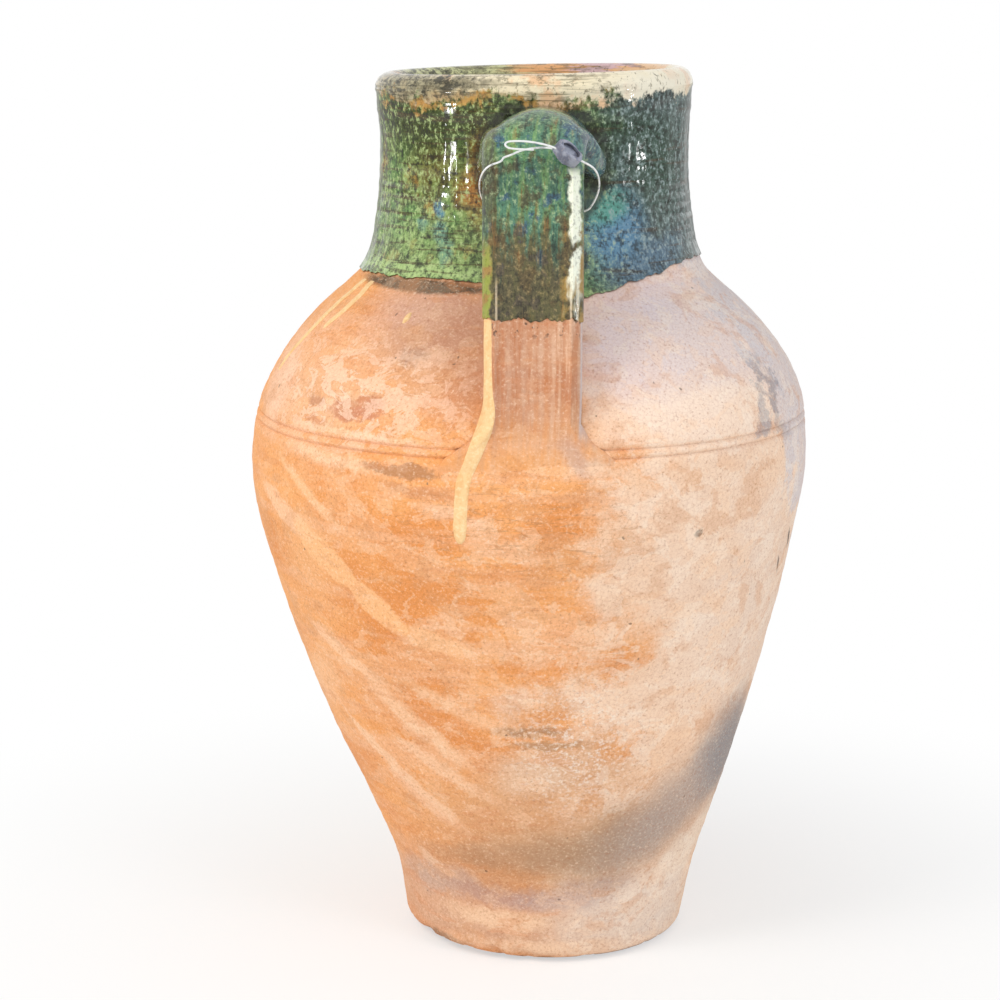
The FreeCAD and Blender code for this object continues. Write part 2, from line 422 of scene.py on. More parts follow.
class Paint:
    """Node tree of one finish: where a point lies on the jar, and the patterns and layers drawn there."""

    def __init__(self, name: str) -> None:
        """Start an empty finish and work out the angle, arc and height of a point.

        Args:
            name: The finish's name.
        """
        self.material = bpy.data.materials.new(name)
        self.material.use_nodes = True
        self.tree = self.material.node_tree
        self.tree.nodes.clear()
        self.place = add_node(self.tree, "ShaderNodeTexCoord").outputs["Object"]
        x, y, z = add_node(self.tree, "ShaderNodeSeparateXYZ", {0: self.place}).outputs
        compass = {0: x, 1: self.scaled(y, -1.0)}
        angle = add_node(self.tree, "ShaderNodeMath", compass, operation="ARCTAN2").outputs[0]
        level = {0: self.joined(x, y)}
        reach = add_node(self.tree, "ShaderNodeVectorMath", level, operation="LENGTH").outputs["Value"]
        self.values = {"x": x, "y": y, "z": z, "angle": angle, "reach": reach}
        self.flat = self.joined(self.both(angle, reach), z)
        self.ragged = self.flat

    def joined(self, first: Socket, second: Socket) -> Socket:
        """Two lengths as one flat place."""
        return add_node(self.tree, "ShaderNodeCombineXYZ", {0: first, 1: second}).outputs[0]

    def scaled(self, value: Socket, gain: float, start: float = 0.0) -> Socket:
        """A value times a gain, counted from a start."""
        sockets = {0: value, 1: gain, 2: start}
        return add_node(self.tree, "ShaderNodeMath", sockets, operation="MULTIPLY_ADD").outputs[0]

    def both(self, *masks: Socket) -> Socket:
        """Where all of some masks hold.

        Args:
            masks: Shares from 0 to 1.

        Returns:
            The shares multiplied.
        """
        shared = masks[0]
        for mask in masks[1:]:
            sockets = {0: shared, 1: mask}
            shared = add_node(self.tree, "ShaderNodeMath", sockets, operation="MULTIPLY").outputs[0]
        return shared

    def either(self, first: Socket, second: Socket | float) -> Socket:
        """The larger of two values, so where one mask or the other holds."""
        return add_node(self.tree, "ShaderNodeMath", {0: first, 1: second}, operation="MAXIMUM").outputs[0]

    def drifted(self, value: Socket, pattern: Socket, reach: float) -> Socket:
        """A value that a pattern shifts to and fro."""
        sockets = {0: value, 1: self.scaled(pattern, reach, -reach / 2)}
        return add_node(self.tree, "ShaderNodeMath", sockets, operation="ADD").outputs[0]

    def strap_place(self) -> None:
        """Add the place of a point across and along its strap to the values."""
        kept = add_node(self.tree, "ShaderNodeAttribute", attribute_name=STRAP_PLACE).outputs["Vector"]
        across, way, _ = add_node(self.tree, "ShaderNodeSeparateXYZ", {0: kept}).outputs
        self.values.update(across=across, way=way)

    def fade(self, value: Socket, low: float, high: float) -> Socket:
        """Soft step from nothing at one value to all at another."""
        sockets = {"Value": value, "From Min": low, "From Max": high}
        return add_node(self.tree, "ShaderNodeMapRange", sockets, interpolation_type="SMOOTHSTEP").outputs[0]

    def limit(self, value: Socket, edges: tuple[float, ...]) -> Socket:
        """Soft step, or soft band where four edges are given.

        Args:
            value: What is read.
            edges: Where it starts and is full, and where it thins and ends.

        Returns:
            A share from 0 to 1.
        """
        start, full, *fall = edges
        share = self.fade(value, start, full)
        return self.both(share, self.fade(value, *fall[::-1])) if fall else share

    def outside(self, value: Socket, gap: Band) -> Socket:
        """Where a value lies outside a soft gap."""
        start, full, thin, end = gap
        return self.either(self.fade(value, full, start), self.fade(value, thin, end))

    def grain(self, clouds: Clouds, source: Socket | None = None) -> Socket:
        """Draw a cloudy pattern.

        Args:
            clouds: The pattern.
            source: Coordinates; the jar's own where none are given.

        Returns:
            A value about one half.
        """
        sockets = {"Vector": source or self.place, "Scale": clouds.size}
        mapped = add_node(self.tree, "ShaderNodeMapping", sockets, vector_type="TEXTURE").outputs[0]
        sockets = {"Vector": mapped, "Scale": 1.0, "Detail": clouds.detail}
        sockets.update({"Roughness": clouds.rough, "Distortion": clouds.warp})
        return add_node(self.tree, "ShaderNodeTexNoise", sockets).outputs[0]

    def hollows(self, reach: float) -> None:
        """Add the ambient occlusion of creases and cut lines to the values, which layers use to paint shade
        there.
        """
        shelter = add_node(self.tree, "ShaderNodeAmbientOcclusion", {"Distance": reach}, samples=8)
        self.values["open"] = shelter.outputs["AO"]

    def fray(self, size: float, reach: float) -> None:
        """Make the edges of later patches ragged.

        Args:
            size: Size of the tatters, in metres.
            reach: How far they reach, in metres.
        """
        sockets = {"Vector": self.place, "Scale": 1 / size, "Detail": 8.0, "Roughness": 0.65}
        shift = add_node(self.tree, "ShaderNodeTexNoise", sockets).outputs["Color"]
        middle = (0.5, 0.5, 0.5)
        for second, operation in ((middle, "SUBTRACT"), ((reach,) * 3, "MULTIPLY"), (self.flat, "ADD")):
            sockets = {0: shift, 1: second}
            shift = add_node(self.tree, "ShaderNodeVectorMath", sockets, operation=operation).outputs[0]
        self.ragged = shift

    def oval(self, place: Socket, centre: Span, half: Span, turn: float = 0.0) -> Socket:
        """How far a flat place lies from the middle of an oval.

        Args:
            place: The flat place.
            centre: The oval's middle.
            half: The oval's half sizes.
            turn: How far it is turned, in degrees.

        Returns:
            0 in the middle and 1 on the oval.
        """
        sockets = {"Vector": place, "Location": (*centre, 0), "Scale": (*half, 1)}
        sockets["Rotation"] = (0, 0, math.radians(turn))
        mapped = add_node(self.tree, "ShaderNodeMapping", sockets, vector_type="TEXTURE").outputs[0]
        return add_node(self.tree, "ShaderNodeVectorMath", {0: mapped}, operation="LENGTH").outputs["Value"]

    def patch_mask(self, patch: Patch, wall: SmoothLine) -> Socket:
        """Where one patch lies.

        Args:
            patch: The patch.
            wall: Radius of the jar over its height.

        Returns:
            A share from 0 outside the patch to 1 in its middle.
        """
        centre = (math.radians(patch.angle) * wall.at(patch.height), patch.height)
        away = self.oval(self.ragged, centre, (patch.wide, patch.tall), patch.turn)
        return self.fade(away, 1 + patch.soft, max(0.0, 1 - patch.soft))

    def tone(self, tone: str | Blend) -> Socket | tuple[float, float, float, float]:
        """Colour of a hex tone, or of two tones blended.

        Args:
            tone: The tone or the blend.

        Returns:
            The colour.
        """
        if isinstance(tone, str):
            return linear(tone)
        share = self.fade(self.values[tone.by], tone.start, tone.full)
        sockets = {0: share, 6: linear(tone.first), 7: linear(tone.second)}
        return add_node(self.tree, "ShaderNodeMix", sockets, data_type="RGBA").outputs[2]

    def lay(self, below: Socket, above: Socket | str | Blend, cover: float, *masks: Socket) -> Socket:
        """Lay a colour over another where some masks say.

        Args:
            below: The colour underneath.
            above: The colour on top.
            cover: How well it covers.
            masks: Where it lies.

        Returns:
            The colours together.
        """
        top = above if isinstance(above, Socket) else self.tone(above)
        sockets = {0: self.scaled(self.both(*masks), cover), 6: below, 7: top}
        return add_node(self.tree, "ShaderNodeMix", sockets, data_type="RGBA").outputs[2]

    def coat(self, below: Socket, layers: Sequence[Layer], share: float = 1.0) -> Socket:
        """Lay some layers over a colour, one on the other.

        Args:
            below: The colour underneath.
            layers: The layers from the lowest up.
            share: Share of their cover that is used.

        Returns:
            The colours together.
        """
        for layer in layers:
            if layer.clouds:
                self.values["own"] = self.grain(layer.clouds)
            masks = [self.limit(self.values[name], edges) for name, edges in layer.limits.items()]
            masks += [self.values[name] for name in layer.masks]
            below = self.lay(below, layer.tone, layer.cover * share, *masks)
            below.node.label = layer.what
        return below

    def mark(self, below: Socket, marks: Marks, wall: SmoothLine) -> Socket:
        """Lay all patches of one kind over a colour.

        Args:
            below: The colour underneath.
            marks: The patches.
            wall: Radius of the jar over its height.

        Returns:
            The colours together.
        """
        self.fray(marks.tatter_size, marks.tatter_reach)
        for patch in marks.patches:
            below = self.lay(below, patch.tone, patch.strength, self.patch_mask(patch, wall))
        return below

    def finish(
        self, colour: Socket, rough: Socket | float, height: Socket, relief: float, **sockets: float
    ) -> Finish:
        """Close the tree with a shader.

        Args:
            colour: Colour of the surface.
            rough: Roughness of the surface.
            height: Pattern of the fine relief.
            relief: Depth of the fine relief, in metres.
            sockets: Other inputs of the shader.

        Returns:
            The finished material.
        """
        bump = add_node(self.tree, "ShaderNodeBump", {"Height": height, "Strength": 1.0, "Distance": relief})
        inputs = {"Base Color": colour, "Roughness": rough, "Normal": bump.outputs[0], **sockets}
        shader = add_node(self.tree, "ShaderNodeBsdfPrincipled", inputs)
        add_node(self.tree, "ShaderNodeOutputMaterial", {"Surface": shader.outputs[0]})
        return self.material


@dataclass(frozen=True)
class Terracotta:
    """Low-fired orange clay, wiped with a pale slip while damp, then smoked, salted and worn by use.

    Angles are in radians from the front, and lengths in metres. The sand and the crazing are drawn about
    three times as coarse as real ones, so that they show.
    """

    wall: SmoothLine
    firing: Clouds = Clouds((0.11, 0.11, 0.06), 4.0)
    bleach_edge: Clouds = Clouds((0.06, 0.06, 0.05), 6.0)
    bleach_drift: float = 2.2
    fired: Blend = Blend("#E49450", "#F2AC6C", "firing", 0.38, 0.62)
    ground: tuple[Layer, ...] = (
        Layer("wiped slip", "#EFB78F", 0.36, {"own": (0.47, 0.60)},
              Clouds((0.20, 0.20, 0.010), 6.0, warp=0.3)),
        Layer("bleached side", Blend("#F0C7A4", "#F6D6BA", "firing", 0.38, 0.62), 0.95,
              {"bleach": (0.02, 0.42), "angle": (2.6, 2.0)}),
    )
    worn_places: tuple[tuple[str, Patch], ...] = (
        ("middle", Patch(6, 0.250, 0.14, 0.16, "#F9D2AE", soft=0.9)),
        ("scratched", Patch(-4, 0.322, 0.085, 0.032, "#A8754F", soft=0.8)),
        ("flaking", Patch(-44, 0.398, 0.085, 0.032, "#FFDCC2", soft=0.9)),
        ("salted", Patch(10, 0.170, 0.036, 0.040, "#FBF0E4", soft=1.0)),
    )
    flaked_elsewhere: float = 0.3
    bleached_side: Band = (0.05, 0.45, 2.2, 2.9)
    tatter: Clouds = Clouds((0.024, 0.024, 0.014), 10.0, 0.66, 1.0)
    worn: tuple[Layer, ...] = (
        Layer("large flakes", "#F9D2AE", 0.30, {"own": (0.525, 0.540)},
              Clouds((0.075, 0.075, 0.060), 8.0, 0.55, 0.8), ("flaked",)),
        Layer("scratches", "#A8754F", 0.42, {"own": (0.43, 0.39)},
              Clouds((0.020, 0.020, 0.0026), 7.0, 0.65, 0.9), ("scratched",)),
        Layer("small flakes", "#F9D2AE", 0.45, {"own": (0.550, 0.570)},
              Clouds((0.022, 0.022, 0.015), 8.0, 0.62, 0.6), ("flaked",)),
        Layer("bared clay", "#D98F5C", 0.30, {"own": (0.43, 0.39)},
              Clouds((0.034, 0.034, 0.010), 6.0, 0.60, 0.4), ("left",)),
        Layer("tan clouds", "#D59A6C", 0.34, {"own": (0.47, 0.40)},
              Clouds((0.036, 0.036, 0.026), 8.0, 0.62, 0.5)),
        Layer("chalk", "#FFF0DE", 0.30, {"own": (0.53, 0.56), "angle": (0.05, 0.35, 2.0, 2.6)},
              Clouds((0.028, 0.028, 0.022), 9.0, 0.66, 0.7)),
        Layer("skin of slip", "#FFDCC2", 0.55, {"tatter": (0.500, 0.512)}, masks=("flaking",)),
        Layer("edge of the skin", "#A8754F", 0.38, {"tatter": (0.490, 0.499, 0.501, 0.508)},
              masks=("scuffed",)),
    )
    salt: Layer = Layer("salt", "#FBF0E4", 0.75, {"own": (0.50, 0.62)},
                        Clouds((0.0034, 0.0034, 0.0026), 6.0, 0.72), ("salted",))
    weathered_tatter: Clouds = Clouds((0.030, 0.030, 0.030), 9.0, 0.62)
    weathered_drift: float = 0.9
    weathered_bend: float = 0.374
    weathered_slope: float = 4.6
    weathered: tuple[Layer, ...] = (
        Layer("grey skin", "#D8D1D2", 0.85, {"grey": (0.92, 1.02), "angle": (2.0, 1.6), "z": (0.250, 0.300)}),
        Layer("dark edge", "#8E8C94", 0.75,
              {"grey": (0.92, 0.97, 1.02, 1.10), "z": (0.355, 0.380, 0.405, 0.425)}),
    )
    craze_size: float = 0.0036
    craze: Layer = Layer("crazing", "#A9673C", 0.14, {"craze": (0.10, 0.0)})
    sand: Clouds = Clouds((0.0020, 0.0020, 0.0018), 4.0, 0.75)
    hollow_reach: float = 0.005
    sanded: tuple[Layer, ...] = (
        Layer("dark sand", "#A9673C", 0.52, {"sand": (0.47, 0.30)}),
        Layer("light sand", "#FFE6CC", 0.42, {"sand": (0.53, 0.68)}),
        # painted shade: darker clay where the ambient occlusion finds creases and cut lines
        Layer("dirt in the hollows", "#8A5B3C", 0.75, {"open": (0.80, 0.35)}),
        Layer("specks", "#5A463A", 0.6, {"own": (0.205, 0.185)}, Clouds((0.006, 0.006, 0.006), 1.0)),
    )
    dullness: float = 0.85
    relief: float = 0.0004
    pulled: Clouds = Clouds((0.0035, 0.060, 1))
    pull_drift: float = 0.05
    strap_tatter: Span = (0.012, 0.012)
    strap_wear: float = 0.5
    strap_ground: tuple[Layer, ...] = (
        Layer("rust streaks", Blend("#B47452", "#C2977F", "pulled", 0.36, 0.66), 0.85,
              {"low": (0.352, 0.408)}),
        # painted shade: grey-lilac darkening on the strap's right foot
        Layer("smear at the root", "#BFA096", 0.55, masks=("smear",)),
        Layer("pale streaks", "#F9D2AE", 0.22,
              {"across": (0.008, 0.016, 0.024, 0.029), "pulled": (0.46, 0.56)}),
    )
    strap_sanded: tuple[Layer, ...] = (
        # painted highlight: a pale grey line down the right edge of the strap's lower run
        Layer("rubbed edge", "#C9C6C8", 0.7, {"across": (0.0285, 0.0300), "z": (0.374, 0.392)}),
        Layer("soot under the glaze", "#5A463A", 0.85,
              {"own": (0.40, 0.34), "z": (0.440, 0.447, 0.455, 0.460)},
              Clouds((0.0035, 0.0035, 0.0045), 2.0)),
        Layer("dark sand", "#A9673C", 0.40, {"sand": (0.47, 0.30)}),
        Layer("light sand", "#FFE6CC", 0.36, {"sand": (0.53, 0.68)}),
        # painted shade: darker clay where the ambient occlusion finds creases and the strap's roots
        Layer("dirt in the hollows", "#8A5B3C", 0.55, {"open": (0.80, 0.35)}),
    )
    strap_dullness: float = 0.80
    # painted shade: grey-lilac patch beside the front strap's right foot, where the flare meets the belly
    root_smear: Patch = Patch(6.2, 0.370, 0.006, 0.014, "#BFA096", 0.55, 28, 0.6)
    # slip washes and stains, with one painted shadow band above the foot
    washes: Marks = Marks(0.030, 0.030, (
        Patch(0, 0.110, 0.080, 0.042, "#D8A57C", 0.75, 8, 0.8),
        Patch(4, 0.150, 0.040, 0.022, "#D9AC86", 0.6, 20, 0.8),
        Patch(30, 0.438, 0.062, 0.034, "#F0E2EA", 0.95, 0, 0.6),
        Patch(52, 0.425, 0.090, 0.046, "#E8D7D0", 0.95, 0, 0.6),
        Patch(36, 0.388, 0.080, 0.017, "#FCE4CE", 0.85, 0, 0.5),
        Patch(-28, 0.447, 0.050, 0.020, "#D4A897", 0.85, 0, 0.6),
        Patch(-30, 0.430, 0.044, 0.013, "#C48E70", 0.75, 12, 0.7),
        Patch(-55, 0.400, 0.070, 0.032, "#F7BE92", 0.75, 0, 0.7),
        Patch(60, 0.250, 0.080, 0.080, "#EBDACB", 0.65, 0, 0.8),
        Patch(68, 0.072, 0.050, 0.018, "#F0DAC4", 0.9, 28, 0.35),
        Patch(5, 0.2485, 0.018, 0.024, "#EFA266", 0.7, -30, 0.6),
        Patch(-1, 0.150, 0.026, 0.014, "#EBCBAE", 0.6, 10, 0.6),
        # painted shadow: brown band where the wall turns in above the foot
        Patch(-10, 0.082, 0.060, 0.009, "#BE8F6A", 0.75, 4, 0.7),
        Patch(-50, 0.036, 0.060, 0.030, "#D9AE90", 0.85, 0, 0.6),
        Patch(6, 0.022, 0.085, 0.016, "#CDA488", 0.85, 0, 0.6),
        Patch(-40, 0.056, 0.034, 0.012, "#CBAB98", 0.9, 0, 0.5),
        Patch(-12, 0.050, 0.044, 0.010, "#C09886", 0.9, -4, 0.5),
        Patch(16, 0.052, 0.044, 0.012, "#BFA399", 0.9, 6, 0.5),
        Patch(-38, 0.066, 0.020, 0.005, "#EBC3A2", 0.8, -24, 0.4),
        Patch(-14, 0.031, 0.034, 0.008, "#F1CBA8", 0.85, -3, 0.4),
        Patch(45, 0.030, 0.060, 0.024, "#E6D5C6", 0.9, 0, 0.5),
        Patch(-17, 0.425, 0.036, 0.034, "#C99376", 0.75, 0, 0.7),
        Patch(-56, 0.284, 0.034, 0.026, "#F8C08A", 0.6, -50, 0.8),
        Patch(-66, 0.195, 0.020, 0.030, "#F9C89C", 0.6, -60, 0.6),
        Patch(-72, 0.395, 0.030, 0.024, "#F5CDB2", 0.6, 0, 0.7),
    ))
    sweeps: Marks = Marks(0.016, 0.012, (
        Patch(-61, 0.3165, 0.036, 0.0075, "#FCC9A0", 0.8, -22, 0.2),
        Patch(-49, 0.294, 0.036, 0.0100, "#FABF88", 0.9, -31, 0.15),
        Patch(-36.6, 0.264, 0.030, 0.0085, "#FABF88", 0.9, -36, 0.15),
        Patch(-24.5, 0.2445, 0.030, 0.0065, "#FABF88", 0.85, -15, 0.25),
        Patch(-50, 0.222, 0.044, 0.0050, "#FCCAA0", 0.75, -23, 0.25),
        Patch(-31, 0.178, 0.050, 0.0060, "#F9CBA2", 0.7, -36, 0.4),
        Patch(-44, 0.143, 0.064, 0.0042, "#F8CBA4", 0.75, -34, 0.3),
        Patch(-27, 0.148, 0.042, 0.0045, "#F7CBA6", 0.65, -28, 0.5),
        Patch(-36, 0.122, 0.036, 0.0060, "#F5C7A2", 0.7, -34, 0.5),
        Patch(-20, 0.196, 0.040, 0.0050, "#F8C99F", 0.6, -24, 0.5),
        Patch(-52, 0.335, 0.036, 0.0040, "#FBC99A", 0.7, -30, 0.5),
    ))
    chips: Marks = Marks(0.012, 0.016, (
        Patch(-42, 0.3935, 0.024, 0.0070, "#FBD2AE", 0.7, 8, 0.4),
        Patch(-40, 0.3920, 0.024, 0.0066, "#C87E5C", 0.85, 10, 0.2),
        Patch(-52, 0.3930, 0.009, 0.0040, "#C08A6C", 0.7, 0, 0.4),
        Patch(-50, 0.3800, 0.012, 0.0030, "#C9845E", 0.6, -10, 0.4),
        Patch(-40, 0.3765, 0.055, 0.0024, "#FCD3AC", 0.7, -2, 0.5),
        Patch(-44, 0.3590, 0.045, 0.0040, "#FBCDA2", 0.65, -4, 0.5),
        Patch(-27.5, 0.3570, 0.027, 0.0044, "#B07C54", 0.75, -3, 0.2),
        Patch(-24, 0.3445, 0.024, 0.0034, "#C9895A", 0.65, -8, 0.5),
        Patch(-30, 0.4250, 0.012, 0.0045, "#A98574", 0.7, 8, 0.5),
        Patch(-2, 0.1810, 0.022, 0.0040, "#A27C5C", 0.75, 0, 0.5),
        Patch(3, 0.1710, 0.024, 0.0032, "#B28A66", 0.65, 0, 0.5),
        Patch(-16, 0.3300, 0.026, 0.0040, "#F8CFAE", 0.6, -14, 0.5),
        Patch(-6, 0.3080, 0.030, 0.0060, "#F6CBA6", 0.6, -10, 0.5),
        Patch(-14, 0.006, 0.020, 0.0030, "#DA9256", 0.7, 0, 0.5),
        Patch(-42, 0.008, 0.022, 0.0040, "#9A7A62", 0.7, 0, 0.5),
        Patch(2, 0.011, 0.050, 0.0060, "#EFCBAA", 0.75, 0, 0.6),
    ))
    lines: Marks = Marks(0.010, 0.005, (
        Patch(-42, 0.4645, 0.060, 0.0042, "#4A463A", 0.95, 0, 0.3),
        Patch(71, 0.288, 0.003, 0.008, "#5D5650", 0.9, 20, 0.4),
        Patch(66, 0.2735, 0.002, 0.006, "#6A5F56", 0.9, 10, 0.4),
        Patch(32.5, 0.3135, 0.0034, 0.0022, "#3A302A", 0.95, 25, 0.3),
    ))
    # smoke stains, and the painted shade at the strap's root
    smoke: Marks = Marks(0.030, 0.024, (
        Patch(10, 0.088, 0.060, 0.020, "#AC8868", 0.62, 10, 0.8),
        Patch(32, 0.094, 0.050, 0.022, "#A58A70", 0.70, 20, 0.8),
        Patch(48, 0.112, 0.070, 0.026, "#AFA097", 0.80, 34, 0.7),
        Patch(68, 0.142, 0.040, 0.036, "#8F8D8E", 0.92, 40, 0.6),
        # painted shade at the strap's root, laid with the smoke stains
        root_smear,
    ))

    def base(self, paint: Paint) -> Socket:
        """Fired body: orange to the left, bleached to the right, wiped round the jar.

        Args:
            paint: The finish under way.

        Returns:
            The colour.
        """
        see = paint.values
        see["firing"] = paint.grain(self.firing)
        see["bleach"] = paint.drifted(see["angle"], paint.grain(self.bleach_edge), self.bleach_drift)
        return paint.coat(paint.tone(self.fired), self.ground)

    def wear(self, paint: Paint, body: Socket, share: float) -> Socket:
        """Slip that flaked off in crisp tatters, and specks of salt.

        Args:
            paint: The finish under way.
            body: The colour so far.
            share: How much of the wear shows.

        Returns:
            The colour.
        """
        see = paint.values
        for name, patch in self.worn_places:
            see[name] = paint.patch_mask(patch, self.wall)
        see["flaked"] = paint.scaled(see["middle"], 1 - self.flaked_elsewhere, self.flaked_elsewhere)
        see["left"] = paint.outside(see["angle"], self.bleached_side)
        see["tatter"] = paint.grain(self.tatter)
        see["scuffed"] = paint.either(see["flaking"], see["scratched"])
        return paint.coat(paint.coat(body, self.worn, share), [self.salt])

    def weathered_side(self, paint: Paint, body: Socket) -> Socket:
        """Grey weathered skin round the right side, with a ragged dark edge that leans back lower down.

        Args:
            paint: The finish under way.
            body: The colour so far.

        Returns:
            The colour.
        """
        see = paint.values
        slope = self.weathered_slope
        lean = paint.either(paint.scaled(see["z"], -slope, slope * self.weathered_bend), 0.0)
        sockets = {0: see["angle"], 1: lean}
        place = add_node(paint.tree, "ShaderNodeMath", sockets, operation="SUBTRACT").outputs[0]
        see["grey"] = paint.drifted(place, paint.grain(self.weathered_tatter), self.weathered_drift)
        return paint.coat(body, self.weathered)

    def material(self) -> Finish:
        """Bare clay: dull, sandy to the touch, with no shine.

        Returns:
            The material.
        """
        paint = Paint("terracotta")
        see = paint.values
        body = self.base(paint)
        for marks in (self.washes, self.sweeps, self.chips, self.lines):
            body = paint.mark(body, marks, self.wall)
        body = self.wear(paint, self.weathered_side(paint, body), 1.0)
        body = paint.mark(body, self.smoke, self.wall)
        cells = {"Vector": paint.place, "Scale": 1 / self.craze_size}
        cracks = add_node(paint.tree, "ShaderNodeTexVoronoi", cells, feature="DISTANCE_TO_EDGE")
        see["craze"] = cracks.outputs["Distance"]
        see["sand"] = paint.grain(self.sand)
        paint.hollows(self.hollow_reach)
        body = paint.coat(body, [self.craze, *self.sanded])
        return paint.finish(body, self.dullness, see["sand"], self.relief)

    def strap_material(self) -> Finish:
        """Bare clay of the pulled straps: rust streaks along the pull, dull and sandy.

        Returns:
            The material.
        """
        paint = Paint("pulled_terracotta")
        see = paint.values
        paint.fray(*self.strap_tatter)
        paint.strap_place()
        see["pulled"] = paint.grain(self.pulled, paint.joined(see["across"], see["way"]))
        see["low"] = paint.drifted(see["z"], see["pulled"], self.pull_drift)
        # mask of the painted shade at the strap's root
        see["smear"] = paint.patch_mask(self.root_smear, self.wall)
        body = paint.coat(self.base(paint), self.strap_ground)
        body = self.wear(paint, body, self.strap_wear)
        see["sand"] = paint.grain(self.sand)
        paint.hollows(self.hollow_reach)
        body = paint.coat(body, self.strap_sanded)
        return paint.finish(body, self.strap_dullness, see["sand"], self.relief)


